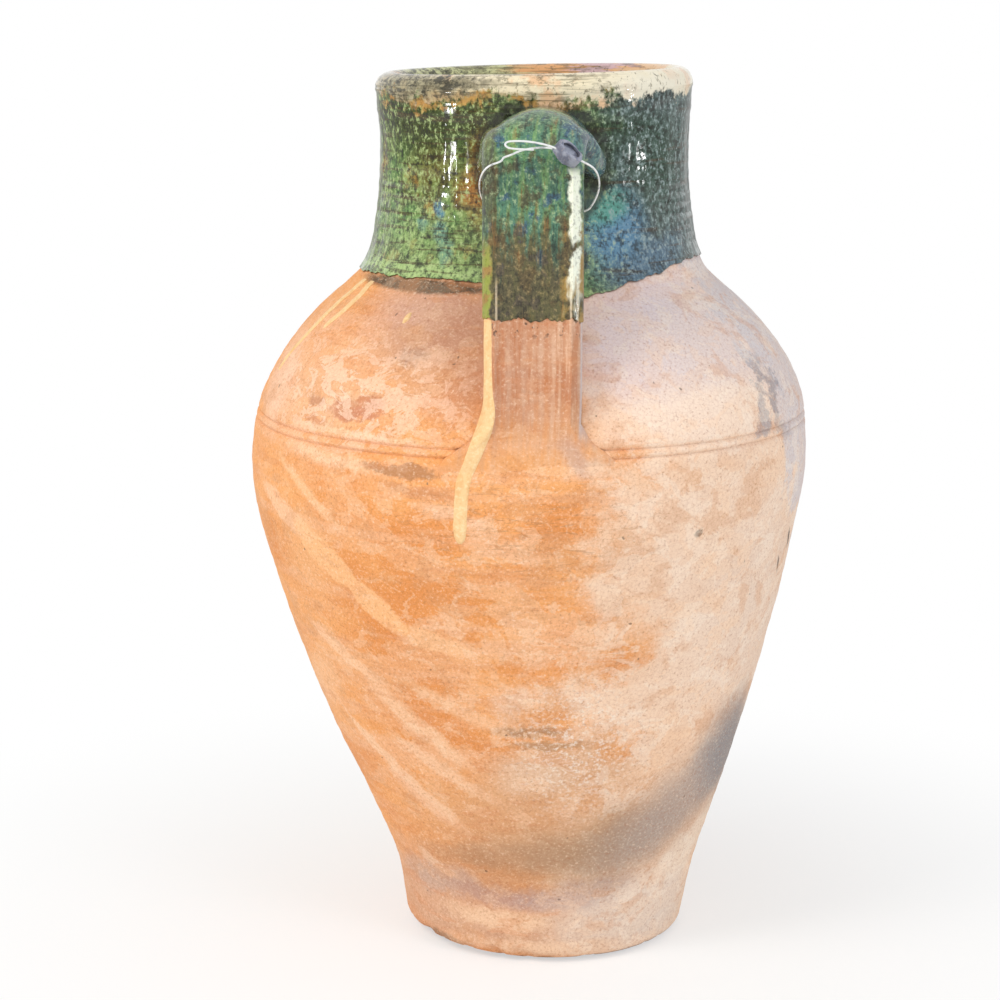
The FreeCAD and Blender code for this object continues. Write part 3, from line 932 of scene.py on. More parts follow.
@dataclass(frozen=True)
class GreenGlaze:
    """Copper-green lead glaze, run thick down the neck and bare of colour on the lip.

    Angles are in radians from the front, and lengths in metres. The mottle is drawn about twice as coarse as
    the real one, so that it shows.
    """

    wall: SmoothLine
    mottle: Clouds = Clouds((0.0034, 0.0034, 0.0040), 6.0, 0.75)
    broad: Clouds = Clouds((0.022, 0.022, 0.026))
    runs: Clouds = Clouds((0.0050, 0.0050, 0.014), 6.0, 0.68)
    cool_drift: float = 0.9
    green: Blend = Blend("#3F4A1E", "#8AA45E", "runs", 0.38, 0.60)
    under: tuple[Layer, ...] = (
        Layer("leaf green", "#5C8A45", 0.75, {"broad": (0.47, 0.58)}),
        Layer("ochre", "#B07A30", 0.55, {"broad": (0.42, 0.33)}),
        Layer("slate side", Blend("#37464A", "#637579", "runs", 0.40, 0.66), 0.9,
              {"cool": (0.25, 0.60), "angle": (2.3, 1.8)}),
    )
    hood_centre: Span = (0.0015, 0.542)
    hood_half: Span = (0.0405, 0.041)
    hollow_reach: float = 0.004
    over: tuple[Layer, ...] = (
        Layer("umber rings", "#4A3516", 0.65, {"own": (0.43, 0.36)},
              Clouds((0.080, 0.080, 0.0050), warp=0.2)),
        Layer("scored lines", "#4A3516", 0.65, {"own": (0.45, 0.39), "x": (0.0, -0.03)},
              Clouds((0.045, 0.045, 0.0028), warp=0.3)),
        Layer("blotches", "#15180D", 0.70, {"own": (0.47, 0.40)}, Clouds((0.009, 0.009, 0.007), 7.0, 0.72)),
        Layer("dark pits", "#15180D", 0.70, {"mottle": (0.49, 0.40)}),
        Layer("light flecks", Blend("#B7CF8C", "#9FB0AE", "cool", 0.25, 0.60), 0.75,
              {"mottle": (0.52, 0.62)}),
        # dark ring round the hood: glaze pooled at the join, and painted contact shadow
        Layer("pool round the hood", "#15180D", 0.72, {"hood": (1.16, 1.04)}),
        # painted shade: darker glaze where the ambient occlusion finds creases
        Layer("dark hollows", "#15180D", 0.7, {"open": (0.80, 0.35)}),
    )
    cream_line: float = 0.5848
    cream_rise: Span = (-0.0020, 0.0025)
    broad_drift: float = 0.045
    mottle_drift: float = 0.020
    fringe: Layer = Layer(
        "brown fringe", "#CB9850", 0.8,
        {"rise": (-0.0080, -0.0030), "own": (0.46, 0.58), "x": (0.040, -0.010)},
        Clouds((0.016, 0.016, 0.012)),
    )
    cream: Blend = Blend("#EBDFBE", "#E7C096", "broad", 0.50, 0.62)
    lip: tuple[Layer, ...] = (
        Layer("dirty lines", "#5B5236", 0.55, {"own": (0.47, 0.40), "x": (0.075, 0.010)},
              Clouds((0.050, 0.050, 0.0016), 4.0)),
        Layer("grime", "#5B5236", 0.60, {"own": (0.48, 0.40), "x": (0.075, 0.010)},
              Clouds((0.012, 0.012, 0.005), 7.0, 0.72)),
        Layer("dirty pits", "#5B5236", 0.75, {"mottle": (0.45, 0.35)}),
        Layer("worn left side", "#15180D", 0.45, {"x": (-0.010, -0.065), "mottle": (0.54, 0.44)}),
        Layer("black blots", "#15180D", 0.75, {"own": (0.50, 0.43), "x": (-0.015, -0.060)},
              Clouds((0.008, 0.008, 0.0045), 7.0, 0.7)),
    )
    streak: Clouds = Clouds((0.026, 0.026, 0.0020))
    streak_drift: float = 0.10
    far_ground: Blend = Blend("#CBD29C", "#D79A5E", "far", -0.022, 0.004)
    far_stains: tuple[Layer, ...] = (
        Layer("lilac", "#C9A9B8", 0.9, {"far": (0.024, 0.034, 0.056, 0.066)}),
        Layer("peach", "#E7C096", 0.8, {"far": (0.060, 0.072)}),
        Layer("umber streaks", "#4A3516", 0.6, {"streak": (0.45, 0.38)}),
    )
    far_side: Span = (0.020, 0.045)
    far_cover: float = 0.9
    dullness: float = 0.18
    waves: Clouds = Clouds((0.007, 0.007, 0.010), 1.5)
    relief: float = 0.0003
    refraction: float = 1.5
    patches: Marks = Marks(0.010, 0.016, (
        Patch(27, 0.500, 0.022, 0.024, "#5E90B2", 0.85, -20, 0.6),
        Patch(25, 0.514, 0.014, 0.010, "#5BA58C", 0.8, 30, 0.6),
        Patch(40, 0.478, 0.034, 0.012, "#587890", 0.75, 16, 0.7),
        Patch(-22, 0.540, 0.008, 0.030, "#B0782C", 0.85, 0, 0.6),
        Patch(-26, 0.525, 0.010, 0.012, "#A9702A", 0.8, 0, 0.6),
        Patch(-40, 0.540, 0.022, 0.016, "#7C6A2C", 0.6, 0, 0.7),
        Patch(-38, 0.513, 0.004, 0.006, "#4E86A2", 0.85, 0, 0.5),
        Patch(-37, 0.498, 0.006, 0.006, "#437F94", 0.85, 0, 0.5),
        Patch(-34, 0.489, 0.006, 0.010, "#4A8A92", 0.8, 10, 0.5),
        Patch(-45, 0.502, 0.005, 0.005, "#4A8490", 0.7, 10, 0.5),
        Patch(-48, 0.490, 0.045, 0.014, "#8FB06A", 0.55, 0, 0.7),
        Patch(-45, 0.4735, 0.080, 0.0042, "#A9C67F", 0.9, 0, 0.5),
        Patch(-45, 0.571, 0.080, 0.013, "#333A10", 0.85, 0, 0.6),
        Patch(-50, 0.558, 0.044, 0.014, "#384012", 0.70, 0, 0.7),
        Patch(18, 0.566, 0.040, 0.010, "#2F4A30", 0.75, 0, 0.6),
        Patch(48, 0.540, 0.030, 0.030, "#36503A", 0.6, 0, 0.7),
    ))
    lip_patches: Marks = Marks(0.010, 0.016, (
        Patch(-55, 0.590, 0.045, 0.012, "#9E9878", 0.88, 0, 0.6),
        Patch(-30, 0.5935, 0.026, 0.0035, "#7E7658", 0.75, 0, 0.6),
        Patch(45, 0.591, 0.040, 0.010, "#EEE8D4", 0.8, 0, 0.6),
        Patch(-23, 0.5840, 0.032, 0.0045, "#A98A4C", 0.75, 0, 0.6),
    ))

    def coat(self, paint: Paint) -> Socket:
        """Layers of the green coat.

        Args:
            paint: The finish under way.

        Returns:
            The colour.
        """
        see = paint.values
        see["runs"] = paint.grain(self.runs)
        see["cool"] = paint.drifted(see["angle"], see["broad"], self.cool_drift)
        see["hood"] = paint.oval(paint.joined(see["x"], see["z"]), self.hood_centre, self.hood_half)
        paint.hollows(self.hollow_reach)
        body = paint.coat(paint.tone(self.green), self.under)
        return paint.coat(paint.mark(body, self.patches, self.wall), self.over)

    def lip_coat(self, paint: Paint) -> Socket:
        """Bare cream lip, dirty to the left, and on the far side stained pale green, then rust, then lilac.

        Args:
            paint: The finish under way.

        Returns:
            The colour.
        """
        see = paint.values
        see["streak"] = paint.grain(self.streak)
        see["far"] = paint.drifted(see["x"], see["streak"], self.streak_drift)
        lip = paint.mark(paint.tone(self.cream), self.lip_patches, self.wall)
        stained = paint.coat(paint.tone(self.far_ground), self.far_stains)
        lip = paint.lay(lip, stained, self.far_cover, paint.limit(see["y"], self.far_side))
        return paint.coat(lip, self.lip)

    def material(self) -> Finish:
        """Glassy coat: deep colour, clear highlights broken by runs and pits.

        Returns:
            The material.
        """
        paint = Paint("copper_green_lead_glaze")
        see = paint.values
        see["mottle"] = paint.grain(self.mottle)
        see["broad"] = paint.grain(self.broad)
        body = self.coat(paint)
        height = paint.drifted(see["z"], see["broad"], self.broad_drift)
        height = paint.drifted(height, see["mottle"], self.mottle_drift)
        see["rise"] = paint.scaled(height, 1.0, -self.cream_line)
        body = paint.coat(body, [self.fringe])
        body = paint.lay(body, self.lip_coat(paint), 1.0, paint.limit(see["rise"], self.cream_rise))
        rough = paint.scaled(see["broad"], self.dullness)
        return paint.finish(body, rough, paint.grain(self.waves), self.relief, IOR=self.refraction)


@dataclass(frozen=True)
class StrapGlaze:
    """The same lead glaze where it ran down the strap in long streaks and broke pale over its edges.

    The way along the strap is in metres from the neck, and the sides are shares of the strap's half width.
    """

    half: float
    neck_radius: float
    mottle: Clouds = Clouds((0.0030, 0.0030, 0.0036), 6.0, 0.78)
    runs: Clouds = Clouds((0.0055, 0.036, 1), 7.0, 0.66)
    broad: Clouds = Clouds((0.014, 0.017, 1), 6.0)
    run_drift: float = 0.20
    border_drift: float = 0.016
    break_drift: float = 0.03
    stripe_break: Band = (0.1185, 0.1215, 0.1235, 0.1265)
    hollow_reach: float = 0.004
    teal: Blend = Blend("#4C7C64", "#75A262", "runs", 0.44, 0.60)
    under: tuple[Layer, ...] = (
        Layer("blue", "#35597E", 0.75, {"broad": (0.55, 0.62)}),
        Layer("brown", "#57472A", 0.75, {"broad": (0.47, 0.39)}),
        Layer("hood", "#566A52", 0.6, {"way": (0.066, 0.044)}),
        Layer("rust on the hood", "#94622A", 0.6, {"way": (0.056, 0.044), "broad": (0.44, 0.36)}),
        Layer("pale arc", "#8DB48E", 0.50, {"gap": (0.026, 0.030, 0.036, 0.042), "way": (0.060, 0.050)}),
        # painted shade: dark crease where the hood meets the neck
        Layer("crease at the neck", "#17170F", 0.72, {"gap": (0.026, 0.018)}),
        Layer("shade under the bend", "#17170F", 0.35, {"way": (0.070, 0.080, 0.088, 0.106)}),
        Layer("blue side", "#35597E", 0.55, {"side": (0.30, 0.85), "way": (0.080, 0.066)}),
        Layer("thin brown foot", "#57472A", 0.88, {"low": (0.096, 0.132)}),
        Layer("rust runs", "#94622A", 0.45, {"runs": (0.57, 0.66)}),
        Layer("dark runs", "#17170F", 0.65, {"runs": (0.44, 0.36)}),
        Layer("pits", "#17170F", 0.40, {"mottle": (0.49, 0.39)}),
        Layer("ochre border", "#C39A4E", 0.60,
              {"border": (0.54, 0.66), "way": (0.096, 0.122), "broad": (0.42, 0.54)}),
    )
    thin_lines: tuple[float, ...] = (-0.74, 0.76, 0.90)
    thin_edges: Span = (0.0009, 0.0004)
    thin_way: Span = (0.142, 0.152)
    thin_tone: str = "#DCC8A8"
    thin_cover: float = 0.7
    over: tuple[Layer, ...] = (
        Layer("pale stripe", "#F6FAE6", 0.95,
              {"border": (0.66, 0.74, 0.92, 1.00), "way": (0.076, 0.082), "ragged": (0.164, 0.142)},
              masks=("whole",)),
        Layer("left ochre", "#C39A4E", 0.60, {"border": (-0.80, -0.88), "way": (0.115, 0.135)}),
        Layer("left lime", "#8FAE48", 0.65,
              {"border": (-0.80, -0.88), "way": (0.115, 0.135), "broad": (0.42, 0.50)}),
        Layer("left edge", "#57472A", 0.6, {"border": (-0.68, -0.80), "way": (0.125, 0.105)}),
        Layer("late pits", "#17170F", 0.42, {"mottle": (0.48, 0.38)}),
        Layer("light flecks", Blend("#BFD3A0", "#AF9A68", "low", 0.098, 0.130), 0.50,
              {"mottle": (0.53, 0.63)}),
        # painted shade: darker glaze where the ambient occlusion finds creases round the hood and strap
        Layer("dark hollows", "#17170F", 0.6, {"open": (0.80, 0.35)}),
    )
    dullness: Span = (0.22, 0.03)
    waves: Clouds = Clouds((0.006, 0.006, 0.010), 2.0)
    relief: float = 0.0003
    refraction: float = 1.5

    def read_place(self, paint: Paint) -> None:
        """Work out the patterns and the places on the strap that the layers keep to.

        Args:
            paint: The finish under way.
        """
        paint.strap_place()
        see = paint.values
        across, way = see["across"], see["way"]
        flat = paint.joined(across, way)
        see["mottle"] = paint.grain(self.mottle)
        see["runs"] = paint.grain(self.runs, flat)
        see["broad"] = paint.grain(self.broad, flat)
        see["gap"] = paint.scaled(see["reach"], 1.0, -self.neck_radius)
        see["side"] = paint.scaled(across, 1 / self.half)
        see["border"] = paint.scaled(paint.drifted(across, see["broad"], self.border_drift), 1 / self.half)
        see["low"] = paint.drifted(way, see["runs"], self.run_drift)
        see["ragged"] = paint.drifted(way, see["runs"], self.run_drift / 2)
        see["whole"] = paint.outside(paint.drifted(way, see["broad"], self.break_drift), self.stripe_break)
        paint.hollows(self.hollow_reach)

    def material(self) -> Finish:
        """Glassy coat in long streaks: teal at the top, brown and dull where it thins out.

        Returns:
            The material.
        """
        paint = Paint("streaked_lead_glaze")
        see = paint.values
        self.read_place(paint)
        body = paint.coat(paint.tone(self.teal), self.under)
        edge, core = self.thin_edges
        for share in self.thin_lines:
            middle = self.half * share
            across = (middle - edge, middle - core, middle + core, middle + edge)
            limits = {"across": across, "way": self.thin_way}
            body = paint.coat(body, [Layer("thin line", self.thin_tone, self.thin_cover, limits)])
        body = paint.coat(body, self.over)
        rough = paint.scaled(see["broad"], *self.dullness)
        return paint.finish(body, rough, paint.grain(self.waves), self.relief, IOR=self.refraction)


@dataclass(frozen=True)
class InnerGlaze:
    """Honey-coloured lining glaze, thin and streaked."""

    runs: Clouds = Clouds((0.010, 0.010, 0.060))
    mottle: Clouds = Clouds((0.004, 0.004, 0.004), 4.0, 0.7)
    honey: Blend = Blend("#C98F52", "#DCCB92", "runs", 0.40, 0.58)
    layers: tuple[Layer, ...] = (
        Layer("pale green side", "#C4CE96", 0.75, {"x": (0.010, -0.035)}),
        Layer("umber", "#7A5638", 0.6, {"mottle": (0.44, 0.32)}),
    )
    dullness: float = 0.22
    relief: float = 0.0003
    refraction: float = 1.55

    def material(self) -> Finish:
        """Glassy lining: pale where it is thick, brown where it runs thin.

        Returns:
            The material.
        """
        paint = Paint("honey_lining_glaze")
        paint.values.update(runs=paint.grain(self.runs), mottle=paint.grain(self.mottle))
        body = paint.coat(paint.tone(self.honey), self.layers)
        return paint.finish(body, self.dullness, paint.values["mottle"], self.relief, IOR=self.refraction)


@dataclass(frozen=True)
class GlazeRun:
    """Thin cream run of lead glaze over bare clay, matt with age."""

    cloud: Clouds = Clouds((0.008, 0.008, 0.020), 4.0)
    mottle: Clouds = Clouds((0.0025, 0.0025, 0.0025), 3.0)
    cream: Blend = Blend("#F0CA93", "#E8B87C", "cloud", 0.50, 0.68)
    layers: tuple[Layer, ...] = (
        Layer("pale", "#FBE2B4", 0.45, {"mottle": (0.54, 0.64)}),
        Layer("warm", "#E8B87C", 0.55, {"mottle": (0.46, 0.36)}),
        Layer("specks", "#8A6A3C", 0.8, {"mottle": (0.30, 0.24)}),
    )
    dullness: float = 0.55
    relief: float = 0.0002
    refraction: float = 1.5

    def material(self) -> Finish:
        """Satin run: flat cream with warmer clouds and a few specks.

        Returns:
            The material.
        """
        paint = Paint("cream_glaze_run")
        paint.values.update(cloud=paint.grain(self.cloud), mottle=paint.grain(self.mottle))
        body = paint.coat(paint.tone(self.cream), self.layers)
        return paint.finish(body, self.dullness, paint.values["mottle"], self.relief, IOR=self.refraction)


@dataclass(frozen=True)
class SteelWire:
    """Drawn steel wire, bright with a few dull lengths."""

    cloud: Clouds = Clouds((0.004, 0.004, 0.004), 3.0)
    steel: Blend = Blend("#F6F8F8", "#C4C8CA", "cloud", 0.50, 0.66)
    dullness: Span = (0.25, 0.3)
    relief: float = 0.0001
    metal: float = 0.8

    def material(self) -> Finish:
        """Metal with a soft drawn shine.

        Returns:
            The material.
        """
        paint = Paint("drawn_steel")
        cloud = paint.values["cloud"] = paint.grain(self.cloud)
        rough = paint.scaled(cloud, *self.dullness)
        return paint.finish(paint.tone(self.steel), rough, cloud, self.relief, Metallic=self.metal)


@dataclass(frozen=True)
class PressedLead:
    """Lead pressed between jaws and dulled by air to a violet grey."""

    cloud: Clouds = Clouds((0.005, 0.005, 0.005), 4.0)
    fine: Clouds = Clouds((0.0012, 0.0012, 0.0012), 3.0)
    hollow_reach: float = 0.0025
    lead: Blend = Blend("#6E7284", "#A2A7B6", "cloud", 0.38, 0.60)
    layers: tuple[Layer, ...] = (
        Layer("rubbed lead", "#B8ACA8", 0.6, {"fine": (0.56, 0.70)}),
        # painted shade: near-black lead where the ambient occlusion finds the recess and rim fold
        Layer("black hollows", "#23232B", 0.9, {"open": (0.80, 0.35)}),
    )
    dullness: float = 0.45
    relief: float = 0.0003
    metal: float = 0.35

    def material(self) -> Finish:
        """Soft metal under a dull skin, brighter where it was rubbed.

        Returns:
            The material.
        """
        paint = Paint("dulled_lead")
        paint.values.update(cloud=paint.grain(self.cloud), fine=paint.grain(self.fine))
        paint.hollows(self.hollow_reach)
        body = paint.coat(paint.tone(self.lead), self.layers)
        return paint.finish(body, self.dullness, paint.values["fine"], self.relief, Metallic=self.metal)


# The jar


class Side(Enum):
    """Where a handle stands."""

    FRONT = 0.0
    BACK = math.pi


@dataclass
class Lean:
    """How the thrown wall strays from its axis: sideways at even heights, and tilted at the foot and rim."""

    height: float = 0.600
    half_reach: float = 0.300
    sideways: tuple[float, ...] = (
        0.0055, 0.0076, 0.0056, 0.0012, -0.0017, -0.0036, -0.0058,
        -0.0051, -0.0026, -0.0023, -0.0023, -0.0023, -0.0023,
    )
    foot_tilt: float = 0.0067
    foot_rise: float = 0.0022
    rim_tilt: float = 0.0062
    cage: Piece = field(init=False)

    def build(self) -> None:
        """Set up the cage that the pieces are leant with."""
        start_piece()
        bpy.ops.object.add(type="LATTICE", location=(0, 0, self.height / 2))
        self.cage = name_piece("lean_cage")
        self.cage.scale = (2 * self.half_reach, 2 * self.half_reach, self.height)
        lattice = self.cage.data
        lattice.points_u, lattice.points_v, lattice.points_w = 2, 2, len(self.sideways)
        lattice.interpolation_type_u = lattice.interpolation_type_v = "KEY_LINEAR"
        lattice.interpolation_type_w = "KEY_CATMULL_ROM"
        last = len(self.sideways) - 1
        corners = lattice.points_u * lattice.points_v
        for index, point in enumerate(lattice.points):
            level = index // corners
            side = 1 if index % 2 else -1
            rise = 0.0
            if level == 0:
                rise = self.foot_rise - self.foot_tilt * side
            if level == last:
                rise = self.rim_tilt * side
            shift = Vector((self.sideways[level] / (2 * self.half_reach), 0, rise / self.height))
            point.co_deform = point.co + shift
        bpy.context.view_layer.update()

    def apply(self, piece: Piece) -> None:
        """Lean one piece with the jar.

        Args:
            piece: The mesh.
        """
        pick(piece)
        bend = piece.modifiers.new("lean", "LATTICE")
        bend.object = self.cage
        bpy.ops.object.modifier_apply(modifier=bend.name)

    def clear(self) -> None:
        """Take the cage away."""
        bpy.data.objects.remove(self.cage)


@dataclass
class ThrownJar:
    """The thrown body: lower body, shoulder, neck and rim coil, with the glaze outside and in."""

    foot_radius: float = 0.098
    foot_edge_radius: float = 0.010
    foot_rise: float = 0.055
    foot_top_radius: float = 0.107
    belly_height: float = 0.348
    belly_radius: float = 0.1905
    neck_root_height: float = 0.468
    neck_root_radius: float = 0.1165
    waist_height: float = 0.536
    waist_radius: float = 0.1032
    rim_foot_height: float = 0.572
    rim_foot_radius: float = 0.1046
    rim_side_height: float = 0.585
    rim_radius: float = 0.1068
    crest_radius: float = 0.0980
    jar_height: float = 0.600
    mouth_radius: float = 0.091
    mouth_height: float = 0.591
    wall_thickness: float = 0.012
    floor_thickness: float = 0.018
    floor_round: float = 0.016
    belly_join: float = 0.369
    neck_join: float = 0.471
    rim_join: float = 0.574
    luting_rise: float = 0.006
    line_spacing: float = 0.0055
    line_half_width: float = 0.0019
    line_depth: float = 0.0015
    glaze: float = 0.0008
    bead: float = 0.0007
    bead_width: float = 0.005
    run_depth: float = 0.0006
    run_size: Spot = (0.007, 0.007, 0.06)
    run_onset: float = 12.0
    edge_nicks: tuple[Span, ...] = ((0.0016, 0.011), (0.0009, 0.0035))
    edge_round: float = 0.55
    edge_drop: float = 0.0004
    edge_drop_at: float = 0.3
    buried: float = -0.6
    sunk: float = 0.0003
    overlap: float = 0.001
    lip_shares: Span = (0.22, 0.76)
    throat_shares: Span = (0.72, 0.28)
    lip_steps: int = 22
    throat_steps: int = 14
    rim_lines: tuple[float, ...] = (0.5865, 0.5905, 0.5945)
    rim_line_depth: float = 0.0005
    rim_line_width: float = 0.0009
    rim_line_fade: float = 0.03
    rim_line_shares: Span = (0.6, 0.8)
    row: float = 0.002
    steps: int = 240
    glaze_steps: int = 480
    glaze_rows: int = 80
    dent_size: float = 0.115
    dent_depth: float = 0.0013
    swell_size: float = 0.034
    swell_depth: float = 0.0005
    ring_size: Spot = (0.30, 0.30, 0.0045)
    ring_depth: float = 0.00035
    chip_size: float = 0.010
    chip_depth: float = 0.0045
    chip_least: float = 0.12
    chip_rise: float = 0.7
    chip_place: float = 3.7
    glaze_edge: SmoothLine = SmoothLine((
        (-180, 0.4680), (-110, 0.4670), (-67, 0.4680), (-49, 0.4690), (-25, 0.4695), (-14, 0.4680),
        (14, 0.4605), (23, 0.4635), (35, 0.4685), (51, 0.4745), (66, 0.4775), (90, 0.4760), (130, 0.4710),
        (180, 0.4680),
    ))
    pieces: list[Piece] = field(default_factory=list)

    def wall(self) -> SmoothLine:
        """Radius of the outside over its height.

        Returns:
            The curve from the foot to the rim.
        """
        return SmoothLine((
            (self.foot_edge_radius, self.foot_radius),
            (self.foot_rise, self.foot_top_radius),
            (0.080, 0.1158),
            (0.1605, 0.1462),
            (0.2600, 0.1763),
            (self.belly_height, self.belly_radius),
            (0.3852, 0.1841),
            (0.4224, 0.1624),
            (0.4464, 0.1394),
            (0.4572, 0.1269),
            (self.neck_root_height, self.neck_root_radius),
            (0.4802, 0.1113),
            (0.5000, 0.1071),
            (self.waist_height, self.waist_radius),
            (self.rim_foot_height, self.rim_foot_radius),
            (self.rim_side_height, self.rim_radius),
        ))

    def scored(self, height: float) -> float:
        """Radius of the outside, with the pair of turned lines cut in.

        Args:
            height: Where it is read.

        Returns:
            The radius.
        """
        cut = 0.0
        for way in (-1, 1):
            away = abs(height - self.belly_join - way * self.line_spacing / 2)
            cut = max(cut, self.line_depth * (1 - away / self.line_half_width))
        return self.wall().at(height) - cut

    def outside(self, low: float, high: float) -> Chain:
        """Rows of the outside, close together at the turned lines.

        Args:
            low: First height.
            high: Last height.

        Returns:
            Radius and height of each row.
        """
        near = self.line_spacing / 2 + self.line_half_width
        marks = [low, self.belly_join - near, self.belly_join + near, high]
        marks = sorted(mark for mark in marks if low <= mark <= high)
        heights = [low]
        for start, end in zip(marks, marks[1:]):
            fine = abs((start + end) / 2 - self.belly_join) < near
            heights += steps_between(start, end, self.row / 4 if fine else self.row)[1:]
        return [(self.scored(height), height) for height in heights]

    def inside(self, high: float, low: float, inset: float) -> Chain:
        """Rows of the inside downwards, drawn in by an inset."""
        heights = steps_between(high, low, 4 * self.row)
        return [(self.wall().at(height) - self.wall_thickness - inset, height) for height in heights]

    def floor_chain(self, inset: float) -> Chain:
        """Rounded corner of the floor inside, from the wall to the axis.

        Args:
            inset: How far it is drawn in.

        Returns:
            Radius and height of each corner.
        """
        side = self.foot_radius - self.wall_thickness - inset
        bottom = self.floor_thickness + inset
        corner = side - self.floor_round
        rounded = [
            (corner + self.floor_round * math.cos(angle), bottom + self.floor_round * (1 - math.sin(angle)))
            for angle in QUARTER_TURN
        ]
        return [*rounded, (corner / 2, bottom), (0.0, bottom)]

    def relief(self, point: Vector) -> Vector:
        """Hand-thrown unevenness: shallow dents, finger rings and chips along the foot's edge.

        Args:
            point: A point of the turned wall.

        Returns:
            Where it lies on the thrown one.
        """
        level = Vector((point.x, point.y, 0))
        radius = level.length
        if radius < self.mouth_radius - self.wall_thickness:
            return point
        out = level / radius
        dent = self.dent_depth * noise.noise(point / self.dent_size)
        swell = self.swell_depth * noise.noise(point / self.swell_size)
        rings = self.ring_depth * noise.noise(shrunk(point, self.ring_size))
        move = out * (dent + swell + rings)
        if point.z < 2 * self.foot_edge_radius:
            place = point / self.chip_size + Vector((self.chip_place, 0, 0))
            bite = max(0.0, noise.noise(place) - self.chip_least)
            low = 1 - point.z / (2 * self.foot_edge_radius)
            move += (Vector((0, 0, self.chip_rise)) - out) * (bite * low * self.chip_depth)
        return point + move

    def keep(self, piece: Piece, finish: Finish, lean: Lean, node: str) -> None:
        """Lean and dress a finished piece.

        Args:
            piece: The mesh.
            finish: Its material.
            lean: How the jar leans.
            node: The solid that it stands for.
        """
        lean.apply(piece)
        dress(piece, finish, "jar", [node])
        self.pieces.append(piece)

    def build_lower_body(self) -> Piece:
        """Foot, floor and wall up to the belly join.

        Returns:
            The piece.
        """
        heel = self.foot_radius - self.foot_edge_radius
        edge = [
            (heel + self.foot_edge_radius * math.sin(angle), self.foot_edge_radius * (1 - math.cos(angle)))
            for angle in QUARTER_TURN
        ]
        top = self.wall().at(self.belly_join) - self.wall_thickness
        chain = [(0.0, 0.0), (heel / 2, 0.0), *edge]
        chain += self.outside(self.foot_edge_radius, self.belly_join)[1:]
        chain += [(top, self.belly_join + self.luting_rise)]
        chain += self.inside(self.belly_join, self.foot_rise, 0) + self.floor_chain(0)
        piece = turned("lower_body_clay", chain, self.steps)
        rework(piece, self.relief)
        return piece

    def build_ring(self, name: str, low: float, high: float) -> Piece:
        """One thrown ring of the wall between two luted joins.

        Args:
            name: Name of the piece.
            low: Height of the join below.
            high: Height of the join above.

        Returns:
            The ring.
        """
        inner = self.inside(high + self.luting_rise, low + self.luting_rise, 0)
        piece = turned(name, self.outside(low, high) + inner, self.steps)
        rework(piece, self.relief)
        return piece

    def build_rim(self) -> Piece:
        """Rolled rim coil with turned lines round its face.

        Returns:
            The piece.
        """
        side = Vector((self.rim_radius - self.glaze, self.rim_side_height))
        crest = Vector((self.crest_radius, self.jar_height))
        mouth = Vector((self.mouth_radius, self.mouth_height))
        back, up = self.lip_shares
        shoulder = Vector((side.x - (side.x - crest.x) * back, side.y + (crest.y - side.y) * up))
        back, down = self.throat_shares
        throat = Vector((crest.x - (crest.x - mouth.x) * back, crest.y - (crest.y - mouth.y) * down))
        heights = steps_between(self.rim_join, side.y, self.row / 2)
        face = []
        for index, height in enumerate(heights):
            coat = self.glaze * (1 - 2 * index / (len(heights) - 1))
            face.append((self.wall().at(height) + coat, height))
        lip = arc_points(side, shoulder, crest, self.lip_steps)[1:]
        lip += arc_points(crest, throat, mouth, self.throat_steps)[1:]
        chain = face + [tuple(point) for point in lip]
        chain += self.inside(self.rim_join + self.luting_rise, self.rim_join, 0)
        piece = turned("rim_coil_glazed", chain, self.steps)
        rework(piece, self.rim_relief)
        return piece

    def rim_relief(self, point: Vector) -> Vector:
        """Unevenness of the rim, with the lines turned into its outer face.

        Args:
            point: A point of the turned rim.

        Returns:
            Where it lies on the thrown one.
        """
        level = Vector((point.x, point.y, 0))
        if level.length <= self.crest_radius:
            return self.relief(point)
        cut = sum(math.exp(-(((point.z - line) / self.rim_line_width) ** 2)) for line in self.rim_lines)
        least, more = self.rim_line_shares
        deep = least + more * noise.noise(point / self.rim_line_fade)
        return self.relief(point) - level.normalized() * (cut * deep * self.rim_line_depth)

    def edge_height(self, angle: float) -> float:
        """Height where the neck's glaze stops, with its drips and nicks.

        Args:
            angle: Angle round the jar, in radians.

        Returns:
            The height.
        """
        way = Vector((math.sin(angle), math.cos(angle), 0)) * self.neck_root_radius
        nicks = sum(depth * noise.noise(way / size) for depth, size in self.edge_nicks)
        return self.glaze_edge.at(math.degrees(angle)) + nicks

    def build_neck_glaze(self) -> Piece:
        """Glaze on the neck: a thin coat with runs, and a bead along its lower edge.

        Returns:
            The piece.
        """
        wall = self.wall()
        drop = steps_between(0.0, 1.0, 1 / self.glaze_rows)
        section = [(share, 1.0) for share in drop]
        section += [(1.0, self.edge_round), (1.0, 0.0)]
        section += [(share, self.buried) for share in drop[::-2]]
        rings = [
            [self.glaze_point(wall, column, share, gain) for column in range(self.glaze_steps)]
            for share, gain in section
        ]
        return wrapped("neck_glaze_coat", rings, looped=True)

